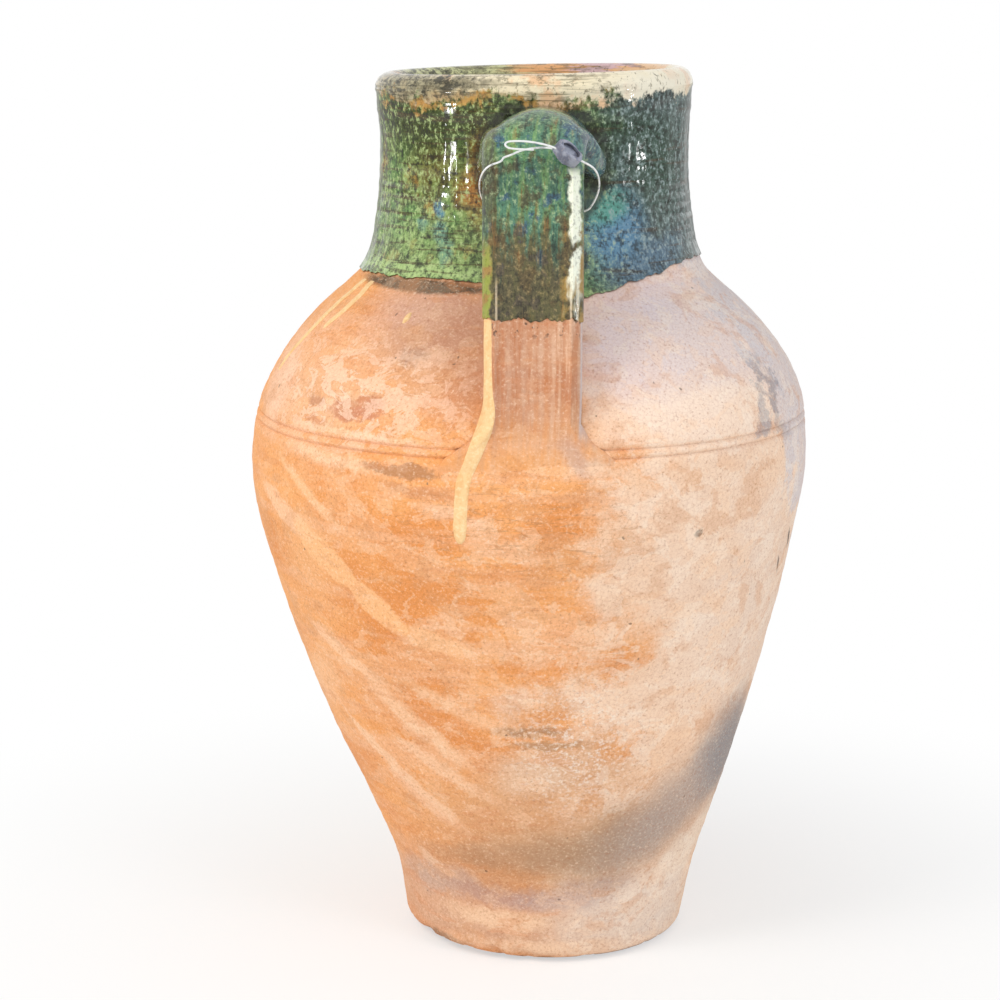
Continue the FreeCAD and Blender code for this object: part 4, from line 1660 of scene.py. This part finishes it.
    def glaze_point(self, wall: SmoothLine, column: int, share: float, gain: float) -> Vector:
        """Point of the neck's coat.

        Args:
            wall: Radius of the clay over its height.
            column: Which column round the neck.
            share: Share of the way down from the rim to the coat's edge.
            gain: Share of the coat's thickness.

        Returns:
            The point.
        """
        angle = FULL_TURN * column / self.glaze_steps - math.pi
        top = self.rim_join + self.overlap
        edge = self.edge_height(angle)
        height = top + (edge - top) * share
        if gain < 1:
            height -= self.edge_drop * (1 - abs(gain - self.edge_drop_at))
        clay = Vector((wall.at(height) * math.sin(angle), -wall.at(height) * math.cos(angle), height))
        out = Vector((math.sin(angle), -math.cos(angle), 0))
        coat = self.glaze * gain
        if gain == 1:
            runs = noise.noise(shrunk(clay, self.run_size))
            swell = math.exp(-(((height - edge) / self.bead_width) ** 2))
            coat += (self.run_depth * runs + self.bead * swell) * min(1.0, share * self.run_onset)
        return self.relief(clay) + out * coat

    def build_inner_glaze(self) -> Piece:
        """Lining glaze from under the lip to the floor.

        Returns:
            The piece.
        """
        outer = [(self.mouth_radius + self.sunk, self.mouth_height)]
        outer += self.inside(self.rim_foot_height, self.foot_rise, -self.sunk) + self.floor_chain(-self.sunk)
        lining = [(self.mouth_radius - self.glaze, self.mouth_height - self.overlap)]
        lining += self.inside(self.rim_foot_height, self.foot_rise, self.glaze) + self.floor_chain(self.glaze)
        piece = turned("inner_glaze_lining", outer + lining[::-1], self.steps // 2)
        rework(piece, self.relief)
        return piece

    def build(self, lean: Lean, clay: Finish, glaze: Finish, lining: Finish) -> None:
        """Make and dress all pieces of the body.

        Args:
            lean: How the jar leans.
            clay: Finish of the bare clay.
            glaze: Finish of the glazed neck and rim.
            lining: Finish of the inside.
        """
        self.keep(self.build_lower_body(), clay, lean, "lower_body")
        shoulder = self.build_ring("shoulder_clay", self.belly_join, self.neck_join)
        self.keep(shoulder, clay, lean, "shoulder")
        neck = self.build_ring("neck_clay", self.neck_join, self.rim_join)
        self.keep(neck, clay, lean, "neck")
        self.keep(self.build_rim(), glaze, lean, "rim_coil")
        self.keep(self.build_neck_glaze(), glaze, lean, "neck_glaze")
        self.keep(self.build_inner_glaze(), lining, lean, "inner_glaze")


@dataclass
class StrapHandle:
    """One pulled strap handle, from the hooded root on the neck to the root smeared into the belly."""

    side: Side
    wall: SmoothLine
    width: float = 0.0612
    thickness: float = 0.018
    edge_bulge: float = 0.007
    dish: float = 0.0015
    back_swell: float = 0.001
    neck_radius: float = 0.1032
    top_height: float = 0.572
    bend_reach: float = 0.1352
    bend_radius: float = 0.033
    turn: float = math.radians(84.564)
    run_length: float = 0.1538
    hood_sink: float = 0.0107
    root_depth: float = 0.006
    hood_width: float = 0.082
    hood_crown: float = 0.030
    hood_fill: float = 0.018
    hood_shift: float = 0.0062
    hood_shift_gain: float = 1.2
    flare_places: tuple[float, ...] = (0.0, 0.25, 0.50, 0.80, 1.0)
    flare_widths: tuple[float, ...] = (0.0, 0.27, 0.78, 1.0, 0.77)
    flare_crowns: tuple[float, ...] = (0.0, 0.19, 0.50, 0.85, 1.0)
    flare_sinks: tuple[float, ...] = (0.0, 0.05, 0.18, 0.55, 1.0)
    flare_length: float = 0.046
    flare_width: float = 0.122
    flare_crown: float = 0.0130
    flare_sink: float = 0.011
    off_axis: float = -0.0026
    bead: float = 0.0010
    bead_inset: float = 0.0062
    groove: float = 0.0006
    groove_inset: float = 0.0110
    line_width: float = 0.0018
    pull_size: float = 0.0035
    pull_length: float = 0.16
    pull_depth: float = 0.00025
    lump_size: float = 0.022
    lump_length: float = 0.030
    lump_depth: float = 0.0005
    glaze: float = 0.0008
    glaze_end: float = 0.4530
    end_nick: float = 0.0022
    end_sway: float = 0.003
    end_rows: tuple[Span, ...] = ((0.0, 1.0), (0.0006, 0.3), (0.0008, -1.5))
    step: float = 0.0022
    face_points: int = 33
    edge_points: int = 13
    back_points: int = 21
    clay_piece: Piece = field(init=False)

    def stem(self) -> float:
        """Length from the neck to the bend."""
        return self.bend_reach - self.neck_radius

    def bend(self) -> float:
        """Length round the bend."""
        return self.bend_radius * self.turn

    def frame_at(self, way: float) -> tuple[Vector, Vector, Vector]:
        """Middle line of the strap.

        Args:
            way: Length along it from the face of the neck.

        Returns:
            The point, the outward normal and the direction there.
        """
        centre = Vector((0, -self.bend_reach, self.top_height - self.bend_radius))
        past = way - self.stem()
        angle = min(max(past / self.bend_radius, 0.0), self.turn)
        normal = Vector((0, -math.sin(angle), math.cos(angle)))
        ahead = Vector((0, -math.cos(angle), -math.sin(angle)))
        point = centre + normal * self.bend_radius
        if past < 0:
            point += ahead * past
        if past > self.bend():
            point += ahead * (past - self.bend())
        return point, normal, ahead

    def hood(self) -> SmoothLine:
        """How much of the hood is left along the strap.

        Returns:
            The curve of its share.
        """
        stem, bend = self.stem(), self.bend()
        return SmoothLine((
            (-self.hood_sink, 1.0), (stem * 0.35, 0.90), (stem, 0.62), (stem + bend * 0.36, 0.28),
            (stem + bend * 0.70, 0.08), (stem + bend, 0.0),
        ))

    def flare(self, shares: tuple[float, ...]) -> SmoothLine:
        """One size of the flare along the strap.

        Args:
            shares: Its shares at the flare's places.

        Returns:
            The curve of its share.
        """
        start = self.stem() + self.bend() + self.run_length
        knots = zip(self.flare_places, shares)
        return SmoothLine(tuple((start + self.flare_length * place, share) for place, share in knots))

    def outline(self, way: float, gain: float) -> list[Vector]:
        """Outline across the strap: sideways and outwards from its middle line.

        Args:
            way: Length along the strap.
            gain: Thickness of a coat on it.

        Returns:
            Points round the outline, from the left edge over the outer face and back.
        """
        hood = self.hood().at(way)
        widen = self.flare(self.flare_widths).at(way)
        crown = hood * self.hood_crown + self.flare(self.flare_crowns).at(way) * self.flare_crown
        sink = self.flare(self.flare_sinks).at(way) * self.flare_sink
        width = self.width + hood * (self.hood_width - self.width) + widen * (self.flare_width - self.width)
        half = width / 2 + gain
        face = half - self.edge_bulge
        outer = self.thickness / 2 + gain - sink
        inner = -self.thickness / 2 - gain
        middle = (outer + inner) / 2
        plain = 1 - min(1.0, hood * 2 + widen)
        ends = Vector((-face, outer - crown)), Vector((face, outer - crown))
        points = arc_points(ends[0], Vector((0, outer - self.dish)), ends[1], self.face_points)
        for point in points:
            edge = half - abs(point.x)
            rise = self.bead * math.exp(-(((edge - self.bead_inset) / self.line_width) ** 2))
            rise -= self.groove * math.exp(-(((edge - self.groove_inset) / (self.line_width / 2)) ** 2))
            point.y += rise * plain
        low = Vector((face, inner - crown)), Vector((-face, inner - crown))
        back = Vector((0, inner - self.back_swell - self.hood_fill * hood))
        points += arc_points(ends[1], Vector((half, middle - crown)), low[0], self.edge_points)[1:]
        points += arc_points(low[0], back, low[1], self.back_points)[1:]
        points += arc_points(low[1], Vector((-half, middle - crown)), ends[0], self.edge_points)[1:-1]
        return points

    def shift_at(self, way: float) -> float:
        """How far to the side the strap was set, more so at its hood."""
        return self.off_axis + self.hood_shift * min(1.0, self.hood().at(way) * self.hood_shift_gain)

    def ring(self, way: float, gain: float) -> list[Vector]:
        """All points of the strap's surface across one place.

        Args:
            way: Length along the strap.
            gain: Thickness of a coat on it.

        Returns:
            The points, in the jar's frame.
        """
        origin, normal, _ = self.frame_at(way)
        shift = self.shift_at(way)
        made = []
        for spot in self.outline(way, gain):
            streak = Vector((spot.x / self.pull_size, way / self.pull_length, 0.0))
            pulled = noise.noise(streak) if spot.y > 0 else 0.0
            lump = Vector((spot.x / self.lump_size, spot.y / self.lump_size, way / self.lump_length))
            out = spot.y + self.pull_depth * pulled + self.lump_depth * noise.noise(lump)
            made.append(self.held_in_wall(origin + Vector((spot.x + shift, 0, 0)) + normal * out))
        return made

    def held_in_wall(self, point: Vector) -> Vector:
        """Keep a point of a root no deeper than the middle of the jar's wall.

        Args:
            point: The point.

        Returns:
            The point, or the nearest one above it at that depth.
        """
        reach = math.hypot(point.x, point.y)
        least = self.wall.at(point.z) - self.root_depth
        if reach >= least:
            return point
        return Vector((point.x * least / reach, point.y * least / reach, point.z))

    def way_at(self, point: Vector) -> float:
        """Length along the strap that a point lies at.

        Args:
            point: A point in the front handle's place.

        Returns:
            The length from the face of the neck.
        """
        out = -self.bend_reach - point.y
        up = point.z - self.top_height + self.bend_radius
        if out < 0 and up > 0:
            return self.stem() + out
        angle = math.atan2(out, up)
        if angle < self.turn:
            return self.stem() + self.bend_radius * angle
        origin, _, ahead = self.frame_at(self.stem() + self.bend())
        return self.stem() + self.bend() + (point - origin).dot(ahead)

    def turn_to_side(self, piece: Piece) -> None:
        """Keep each point's place across and along the strap, then turn the piece to its own side.

        Args:
            piece: A mesh made in the front handle's place.
        """
        kept = piece.data.attributes.new(STRAP_PLACE, "FLOAT_VECTOR", "POINT")
        for vertex, value in zip(piece.data.vertices, kept.data):
            way = self.way_at(vertex.co)
            value.vector = (vertex.co.x - self.shift_at(way), way, 0)
        piece.data.transform(Matrix.Rotation(self.side.value, 4, "Z"))

    def build_clay(self) -> Piece:
        """The strap itself, with its roots buried in the jar.

        Returns:
            The piece.
        """
        end = self.stem() + self.bend() + self.run_length + self.flare_length
        rings = [self.ring(way, 0.0) for way in steps_between(-self.hood_sink, end, self.step)]
        return wrapped(f"{self.side.name.lower()}_handle_clay", rings, looped=False)

    def build_glaze(self) -> Piece:
        """Glaze on the hood and down the run, with a ragged end.

        Returns:
            The piece.
        """
        count = len(self.outline(0.0, self.glaze))
        top = self.stem() + self.bend()
        start_height = self.frame_at(top)[0].z
        ends = []
        for column in range(count):
            nick = self.end_nick * noise.noise(Vector((column * 0.9, 0.3, 7.1)))
            nick += self.end_sway * noise.noise(Vector((column / 7, 4.0, 0)))
            ends.append(top + (start_height - self.glaze_end) + nick)
        last = [
            [self.ring(end + drop, self.glaze * share)[column] for column, end in enumerate(ends)]
            for drop, share in self.end_rows
        ]
        rings = []
        for way in steps_between(-self.hood_sink, max(ends), self.step):
            ring = self.ring(way, self.glaze)
            rings.append([last[0][column] if way > end else ring[column] for column, end in enumerate(ends)])
        rings += last
        return wrapped(f"{self.side.name.lower()}_handle_glaze_coat", rings, looped=False)

    def build(self, lean: Lean, clay: Finish, glaze: Finish) -> None:
        """Make and dress the strap and its glaze.

        Args:
            lean: How the jar leans.
            clay: Finish of the bare clay.
            glaze: Finish of the glazed part.
        """
        name = self.side.name.lower()
        self.clay_piece = self.build_clay()
        for piece, finish, node, slot in (
            (self.clay_piece, clay, f"{name}_handle", "terracotta"),
            (self.build_glaze(), glaze, f"{name}_handle_glaze", "green_glaze"),
        ):
            self.turn_to_side(piece)
            lean.apply(piece)
            dress(piece, finish, "jar", [node])


@dataclass(frozen=True)
class Run:
    """One run of glaze: sideways place, height and width at points down its length."""

    name: str
    points: tuple[Spot, ...]
    round_jar: bool = True


@dataclass
class GlazeRuns:
    """Thin runs of glaze past the neck's coat: one down the front strap, the others on the shoulder."""

    wall: SmoothLine
    thickness: float = 0.0004
    step: float = 0.0015
    columns: int = 8
    start_gap: float = 0.40
    hang: float = 0.004
    nick_size: float = 0.006
    nick_depth: float = 0.0006
    nick_place: float = 1.3
    solid_share: float = 1.5
    runs: tuple[Run, ...] = (
        Run("strap_run", (
            (-0.0328, 0.4540, 0.0046), (-0.0328, 0.4300, 0.0048),
            (-0.0326, 0.4120, 0.0054), (-0.0326, 0.3955, 0.0082),
            (-0.0352, 0.3855, 0.0098), (-0.0395, 0.3750, 0.0098),
            (-0.0430, 0.3655, 0.0094), (-0.0475, 0.3545, 0.0088),
            (-0.0492, 0.3440, 0.0084), (-0.0499, 0.3325, 0.0080),
            (-0.0503, 0.3210, 0.0077), (-0.0502, 0.3160, 0.0060),
            (-0.0502, 0.3130, 0.0020),
        ), False),
        Run("upper_shoulder_run", (
            (-63.0, 0.4640, 0.0055), (-62.8, 0.4505, 0.0060),
            (-63.8, 0.4430, 0.0060), (-65.5, 0.4360, 0.0045),
            (-65.8, 0.4335, 0.0015),
        )),
        Run("long_shoulder_run", (
            (-69.0, 0.4640, 0.0050), (-71.0, 0.4515, 0.0055),
            (-71.5, 0.4425, 0.0055), (-72.8, 0.4285, 0.0050),
            (-75.5, 0.4130, 0.0045), (-76.5, 0.4050, 0.0035), (-76.6, 0.4020, 0.0012),
        )),
        Run("shoulder_drop", ((-36.6, 0.4500, 0.0015), (-36.8, 0.4470, 0.0042), (-37.0, 0.4440, 0.0015))),
    )

    def strip_points(self, run: Run) -> list[Vector]:
        """Rows of points across a run, hung before the jar.

        Args:
            run: The run.

        Returns:
            Points row by row from its foot upwards.
        """
        upwards = run.points[::-1]
        sideways = SmoothLine(tuple((height, place) for place, height, _ in upwards))
        widths = SmoothLine(tuple((height, width) for _, height, width in upwards))
        rows = []
        for height in steps_between(upwards[0][1], upwards[-1][1], self.step):
            nick = self.nick_depth * noise.noise(Vector((height / self.nick_size, 0.0, self.nick_place)))
            for column in range(self.columns + 1):
                away = (column / self.columns - 0.5) * (widths.at(height) + nick)
                if run.round_jar:
                    radius = self.wall.at(height) + self.hang
                    angle = math.radians(sideways.at(height)) + away / radius
                    rows.append(Vector((radius * math.sin(angle), -radius * math.cos(angle), height)))
                else:
                    rows.append(Vector((sideways.at(height) + away, -self.start_gap, height)))
        return rows

    def clay_form(self, pieces: Sequence[Piece]) -> Piece:
        """Join copies of the clay pieces into one form that the runs are laid on.

        Args:
            pieces: The clay pieces.

        Returns:
            The form, which is taken away later.
        """
        start_piece()
        for piece in pieces:
            copy = bpy.data.objects.new("clay_form", piece.data.copy())
            bpy.context.scene.collection.objects.link(copy)
            copy.select_set(True)
            bpy.context.view_layer.objects.active = copy
        bpy.ops.object.join()
        return bpy.context.active_object

    def build_run(self, run: Run, form: Piece) -> Piece:
        """Lay one run on the clay and give it its thickness.

        Args:
            run: The run.
            form: The clay that it lies on.

        Returns:
            The run.
        """
        points = self.strip_points(run)
        start_piece()
        rows = len(points) // (self.columns + 1)
        bpy.ops.mesh.primitive_grid_add(x_subdivisions=self.columns, y_subdivisions=rows - 1)
        piece = name_piece(run.name)
        set_points(piece, points)
        wrap = piece.modifiers.new("lay", "SHRINKWRAP")
        wrap.target = form
        if not run.round_jar:
            wrap.wrap_method = "PROJECT"
            wrap.use_project_y = True
        bpy.ops.object.modifier_apply(modifier=wrap.name)
        normals = [vertex.normal.copy() for vertex in piece.data.vertices]
        laid = []
        for index, vertex in enumerate(piece.data.vertices):
            column, row = index % (self.columns + 1), index // (self.columns + 1)
            inner = 0 < column < self.columns and 0 < row < rows - 1
            out = normals[index] if normals[index].y < 0 else -normals[index]
            laid.append(vertex.co + out * (self.thickness if inner else -self.thickness / 2))
        set_points(piece, laid)
        thick = piece.modifiers.new("thick", "SOLIDIFY")
        thick.thickness = self.thickness * self.solid_share
        thick.offset = 0.0
        bpy.ops.object.modifier_apply(modifier=thick.name)
        close_seams(piece, fill_ends=False)
        return piece

    def build(self, pieces: Sequence[Piece], glaze: Finish) -> None:
        """Lay and dress all runs.

        Args:
            pieces: The clay pieces that they lie on.
            glaze: Finish of the runs.
        """
        form = self.clay_form(pieces)
        for run in self.runs:
            dress(self.build_run(run, form), glaze, "jar", [])
        bpy.data.objects.remove(form)


@dataclass
class SealedWire:
    """Wire loop round the front strap, with its folded tail and the pressed lead slug that closes it."""

    strap: StrapHandle
    wire_diameter: float = 0.0013
    clearance: float = 0.0004
    drop: float = 0.027
    slug_length: float = 0.0145
    slug_diameter: float = 0.0134
    slug_thickness: float = 0.0095
    side_share: float = 0.690
    rise: float = 0.0115
    tilt: float = math.radians(27.0)
    face_way: Spot = (0.50, -0.66, 0.56)
    long_way: Spot = (0.74, 0.0, -0.67)
    slug_gap: float = 0.0025
    strand_gap: float = 0.0017
    strand_lead: float = 0.002
    tail_length: float = 0.036
    half_width: float = 0.030
    wire_order: int = 3
    wire_rows: int = 10
    wire_rounding: int = 3
    slug_sides: int = 64
    slug_bevel: float = 0.20
    bevel_steps: int = 5
    rim_inset: float = 0.08
    sunk_depth: float = 0.42
    sunk_inset: float = 0.12
    sunk_rings: int = 3
    length_share: float = 0.70
    diameter_share: float = 0.36
    barrel: float = 0.16
    lumps: tuple[Span, ...] = ((0.10, 1.7), (0.05, 4.0))
    loop_shares: tuple[Spot, ...] = (
        (1.20, 0.95, -0.10), (1.29, 0.20, 0.22), (1.23, -0.50, 0.56),
        (1.00, -1.00, 0.96), (-0.88, -1.00, 0.80),
        (-1.03, -0.45, 0.45), (-1.03, 0.45, 0.10), (-0.88, 1.14, -0.16),
        (-0.60, 1.15, -0.26), (-0.58, 1.15, -0.35),
        (-0.48, 1.15, -0.38), (-0.15, 1.16, -0.55),
    )
    tail_shares: tuple[Span, ...] = (
        (0.34, -0.05), (0.70, -0.04), (0.81, 0.00), (0.83, 0.06), (0.74, 0.10), (0.40, 0.09),
    )

    def place(self, sideways: float, out: float, down: float) -> Vector:
        """Point counted from the top of the strap's run.

        Args:
            sideways: How far across the strap.
            out: How far out of its middle line.
            down: How far down it.

        Returns:
            The point, in the jar's frame.
        """
        origin, normal, ahead = self.strap.frame_at(self.strap.stem() + self.strap.bend())
        across = Vector((1, 0, 0))
        return origin + across * (sideways + self.strap.off_axis) + normal * out + ahead * down

    def axes(self) -> tuple[Vector, Vector, Vector]:
        """The slug's long axis, the strap's outward normal and the way down the strap."""
        _, normal, ahead = self.strap.frame_at(self.strap.stem() + self.strap.bend())
        return Vector((1, 0, 0)) * math.cos(self.tilt) + ahead * math.sin(self.tilt), normal, ahead

    def slug_centre(self) -> Vector:
        """Middle of the slug, which lies on the strap's face.

        Returns:
            The point, in the jar's frame.
        """
        face = self.strap.thickness / 2 + self.strap.glaze + self.clearance
        out = face + self.slug_thickness / 2 + self.slug_gap
        return self.place(self.half_width * self.side_share, out, -self.rise)

    def route(self) -> list[Vector]:
        """Route of the wire: folded tail, through the slug, round the strap and back into the slug.

        Returns:
            Its points in order.
        """
        axis, normal, ahead = self.axes()
        gap = self.strap.glaze + self.clearance
        edge = self.half_width + gap + self.wire_diameter / 2
        front = self.strap.thickness / 2 + gap + self.wire_diameter / 2
        back = front + self.strap.back_swell
        beside = normal * ((self.wire_diameter + self.strand_gap) / 2)
        half_way = axis * (self.slug_length / 2 + self.strand_lead)
        centre = self.slug_centre()
        root = centre - half_way + beside
        across = Vector((1, 0, 0))
        tail = [
            root - across * (self.tail_length * out) - ahead * (self.tail_length * up)
            for out, up in self.tail_shares
        ]
        loop = [
            self.place(edge * sideways, (front if out > 0 else back) * out, self.drop * down)
            for sideways, out, down in self.loop_shares
        ]
        return [*tail, root, centre + half_way + beside, *loop, centre - half_way - beside, centre - beside]

    def build_wire(self) -> Piece:
        """Round wire on one smooth line along its route.

        Returns:
            The piece.
        """
        start_piece()
        bpy.ops.curve.primitive_nurbs_path_add()
        wire = name_piece("seal_wire_loop")
        points = self.route()
        wire.data.splines.clear()
        spline = wire.data.splines.new("NURBS")
        spline.points.add(len(points) - 1)
        for slot, point in zip(spline.points, points):
            slot.co = (*point, 1.0)
        spline.order_u = self.wire_order
        spline.use_endpoint_u = True
        spline.resolution_u = self.wire_rows
        wire.data.dimensions = "3D"
        wire.data.bevel_depth = self.wire_diameter / 2
        wire.data.bevel_resolution = self.wire_rounding
        wire.data.use_fill_caps = True
        bpy.ops.object.convert(target="MESH")
        piece = name_piece("seal_wire_loop")
        close_seams(piece, fill_ends=False)
        return piece

    def pressed(self, point: Vector) -> Vector:
        """Bring a point of the plain slug to its size, with a barrelled and lumpy side.

        Args:
            point: A point of the slug before pressing, which reaches one each way.

        Returns:
            Where it lies on the pressed one.
        """
        long, tall = self.slug_length * self.length_share, self.slug_diameter * self.diameter_share
        half = Vector((long, self.slug_thickness / 2, tall))
        barrel = 1 - self.barrel * point.z**2
        lump = 1 + sum(depth * noise.noise(point * pace) for depth, pace in self.lumps)
        return Vector((point.x * half.x * barrel * lump, point.y * half.y * lump, point.z * half.z * lump))

    def build_slug(self) -> Piece:
        """Short oval of lead, pressed so that its upper end is a sunk oval with a rolled rim.

        Returns:
            The piece.
        """
        start_piece()
        bpy.ops.mesh.primitive_cylinder_add(
            vertices=self.slug_sides, radius=1.0, depth=2.0, end_fill_type="NGON"
        )
        slug = name_piece("lead_seal_slug")
        bpy.ops.object.mode_set(mode="EDIT")
        bpy.ops.mesh.select_all(action="SELECT")
        bpy.ops.mesh.bevel(offset=self.slug_bevel, segments=self.bevel_steps, affect="EDGES")
        bpy.ops.mesh.select_mode(type="FACE")
        bpy.ops.mesh.select_all(action="DESELECT")
        bpy.ops.object.mode_set(mode="OBJECT")
        for polygon in slug.data.polygons:
            polygon.select = polygon.normal.z > 0.99 and polygon.center.z > 0.9
        bpy.ops.object.mode_set(mode="EDIT")
        bpy.ops.mesh.inset(thickness=self.rim_inset)
        bpy.ops.mesh.extrude_region_move(TRANSFORM_OT_translate={"value": (0, 0, -self.sunk_depth)})
        for _ in range(self.sunk_rings):
            bpy.ops.mesh.inset(thickness=self.sunk_inset)
        bpy.ops.mesh.select_mode(type="VERT")
        bpy.ops.object.mode_set(mode="OBJECT")
        rework(slug, self.pressed)
        face = Vector(self.face_way).normalized()
        across = face.cross(Vector(self.long_way)).normalized()
        turn = Matrix((across.cross(face), across, face)).transposed().to_4x4()
        slug.data.transform(Matrix.Translation(self.slug_centre()) @ turn)
        close_seams(slug, fill_ends=False)
        return slug

    def build(self, lean: Lean, steel: Finish, lead: Finish) -> None:
        """Make and dress the wire and its slug.

        Args:
            lean: How the jar leans.
            steel: Finish of the wire.
            lead: Finish of the slug.
        """
        for piece, finish, node, slot in (
            (self.build_wire(), steel, "seal_wire", "steel_wire"),
            (self.build_slug(), lead, "lead_seal", "lead"),
        ):
            lean.apply(piece)
            dress(piece, finish, "seal", [node])


# The studio


@dataclass(frozen=True)
class Lamp:
    """One soft lamp: its place, power, size and colour, and whether the glaze mirrors it."""

    place: Spot
    power: float
    width: float
    tall: float
    tone: str
    mirrored: bool


@dataclass
class Studio:
    """Pale floor, soft light and the camera."""

    camera_place: Spot = (-0.0252, -1.750, 0.6592)
    camera_pitch: float = math.radians(90 - 11.484)
    lens: float = 92.36
    sensor: float = 36.0
    floor_size: float = 60.0
    floor_tone: str = "#FAFAF8"
    shadow_core: float = 0.1
    shadow_reach: float = 0.62
    shadow_glow: float = 0.55
    sky: float = 0.57
    aim: Spot = (0.0, 0.0, 0.32)
    lamps: tuple[Lamp, ...] = (
        Lamp((-1.40, -1.30, 2.10), 29.5, 0.9, 1.0, "#FFF8F0", False),
        Lamp((1.45, -1.70, 1.45), 16.5, 0.9, 1.2, "#EEF3FF", False),
        Lamp((-1.77, -0.94, 0.45), 3.4, 0.06, 0.24, "#FFFFFF", True),
        Lamp((1.90, -0.62, 0.33), 3.4 / 3, 0.03, 0.18, "#FFFFFF", True),
    )

    def build_camera(self) -> None:
        """Camera at the height and slope of the view, with no lens blur."""
        bpy.ops.object.camera_add(location=self.camera_place, rotation=(self.camera_pitch, 0, 0))
        camera = bpy.context.active_object
        camera.data.lens = self.lens
        camera.data.sensor_width = self.sensor
        bpy.context.scene.camera = camera

    def build_floor(self) -> None:
        """Plain pale floor that keeps the jar's shadow."""
        start_piece()
        bpy.ops.mesh.primitive_plane_add(size=self.floor_size)
        floor = name_piece("studio_floor")
        material = bpy.data.materials.new("pale_floor")
        material.use_nodes = True
        tree = material.node_tree
        tree.nodes.clear()
        by_eye = add_node(tree, "ShaderNodeLightPath").outputs["Is Camera Ray"]
        lit = add_node(tree, "ShaderNodeBsdfDiffuse", {"Color": linear(self.floor_tone)}).outputs[0]
        glow = add_node(tree, "ShaderNodeEmission", {"Color": WHITE, "Strength": by_eye}).outputs[0]
        place = add_node(tree, "ShaderNodeTexCoord").outputs["Object"]
        away = add_node(tree, "ShaderNodeVectorMath", {0: place}, operation="LENGTH").outputs["Value"]
        sockets = {
            "Value": away, "From Min": self.shadow_core, "From Max": self.shadow_reach,
            "To Min": self.shadow_glow, "To Max": 1.0,
        }
        share = add_node(tree, "ShaderNodeMapRange", sockets, interpolation_type="SMOOTHSTEP").outputs[0]
        seen = add_node(tree, "ShaderNodeMath", {0: share, 1: by_eye}, operation="MULTIPLY").outputs[0]
        mixed = add_node(tree, "ShaderNodeMixShader", {0: seen, 1: lit, 2: glow}).outputs[0]
        add_node(tree, "ShaderNodeOutputMaterial", {"Surface": mixed})
        floor.data.materials.append(material)

    def build_sky(self) -> None:
        """White surround to the eye and in reflections, and a plain soft light from all sides."""
        world = bpy.data.worlds.new("soft_surround")
        world.use_nodes = True
        tree = world.node_tree
        tree.nodes.clear()
        path = add_node(tree, "ShaderNodeLightPath").outputs
        sockets = {0: path["Is Glossy Ray"], 1: path["Is Transmission Ray"]}
        mirrored = add_node(tree, "ShaderNodeMath", sockets).outputs[0]
        seen = add_node(tree, "ShaderNodeMath", {0: path["Is Camera Ray"], 1: mirrored}).outputs[0]
        sockets = {"Value": seen, "To Min": self.sky, "To Max": 1.0}
        strength = add_node(tree, "ShaderNodeMapRange", sockets).outputs[0]
        glow = add_node(tree, "ShaderNodeBackground", {"Color": WHITE, "Strength": strength}).outputs[0]
        add_node(tree, "ShaderNodeOutputWorld", {"Surface": glow})
        bpy.context.scene.world = world

    def build_lamp(self, lamp: Lamp) -> None:
        """Set up one soft lamp that faces the jar.

        Args:
            lamp: The lamp.
        """
        bpy.ops.object.light_add(type="AREA", location=lamp.place)
        made = bpy.context.active_object
        made.data.shape = "RECTANGLE"
        made.data.size, made.data.size_y = lamp.width, lamp.tall
        made.data.energy = lamp.power
        made.data.color = linear(lamp.tone)[:3]
        made.visible_glossy = lamp.mirrored
        way = Vector(self.aim) - Vector(lamp.place)
        made.rotation_euler = way.to_track_quat("-Z", "Y").to_euler()

    def build(self) -> None:
        """Set up the whole studio."""
        self.build_camera()
        self.build_floor()
        self.build_sky()
        for lamp in self.lamps:
            self.build_lamp(lamp)
        bpy.context.scene.view_settings.view_transform = "Standard"


def main() -> None:
    """Build the jar, its handles, its seal and the studio, in that order."""
    logging.basicConfig(level=logging.INFO, format="%(name)s %(message)s")
    lean = Lean()
    lean.build()
    jar = ThrownJar()
    wall = jar.wall()
    clay = Terracotta(wall).material()
    glaze = GreenGlaze(wall).material()
    jar.build(lean, clay, glaze, InnerGlaze().material())
    front = StrapHandle(Side.FRONT, wall)
    back = StrapHandle(Side.BACK, wall)
    strap_clay = Terracotta(wall).strap_material()
    strap_glaze = StrapGlaze(front.width / 2, front.neck_radius).material()
    for handle in (front, back):
        handle.build(lean, strap_clay, strap_glaze)
    GlazeRuns(wall).build([*jar.pieces[:2], front.clay_piece], GlazeRun().material())
    SealedWire(front).build(lean, SteelWire().material(), PressedLead().material())
    lean.clear()
    Studio().build()


if __name__ == "__main__":
    main()
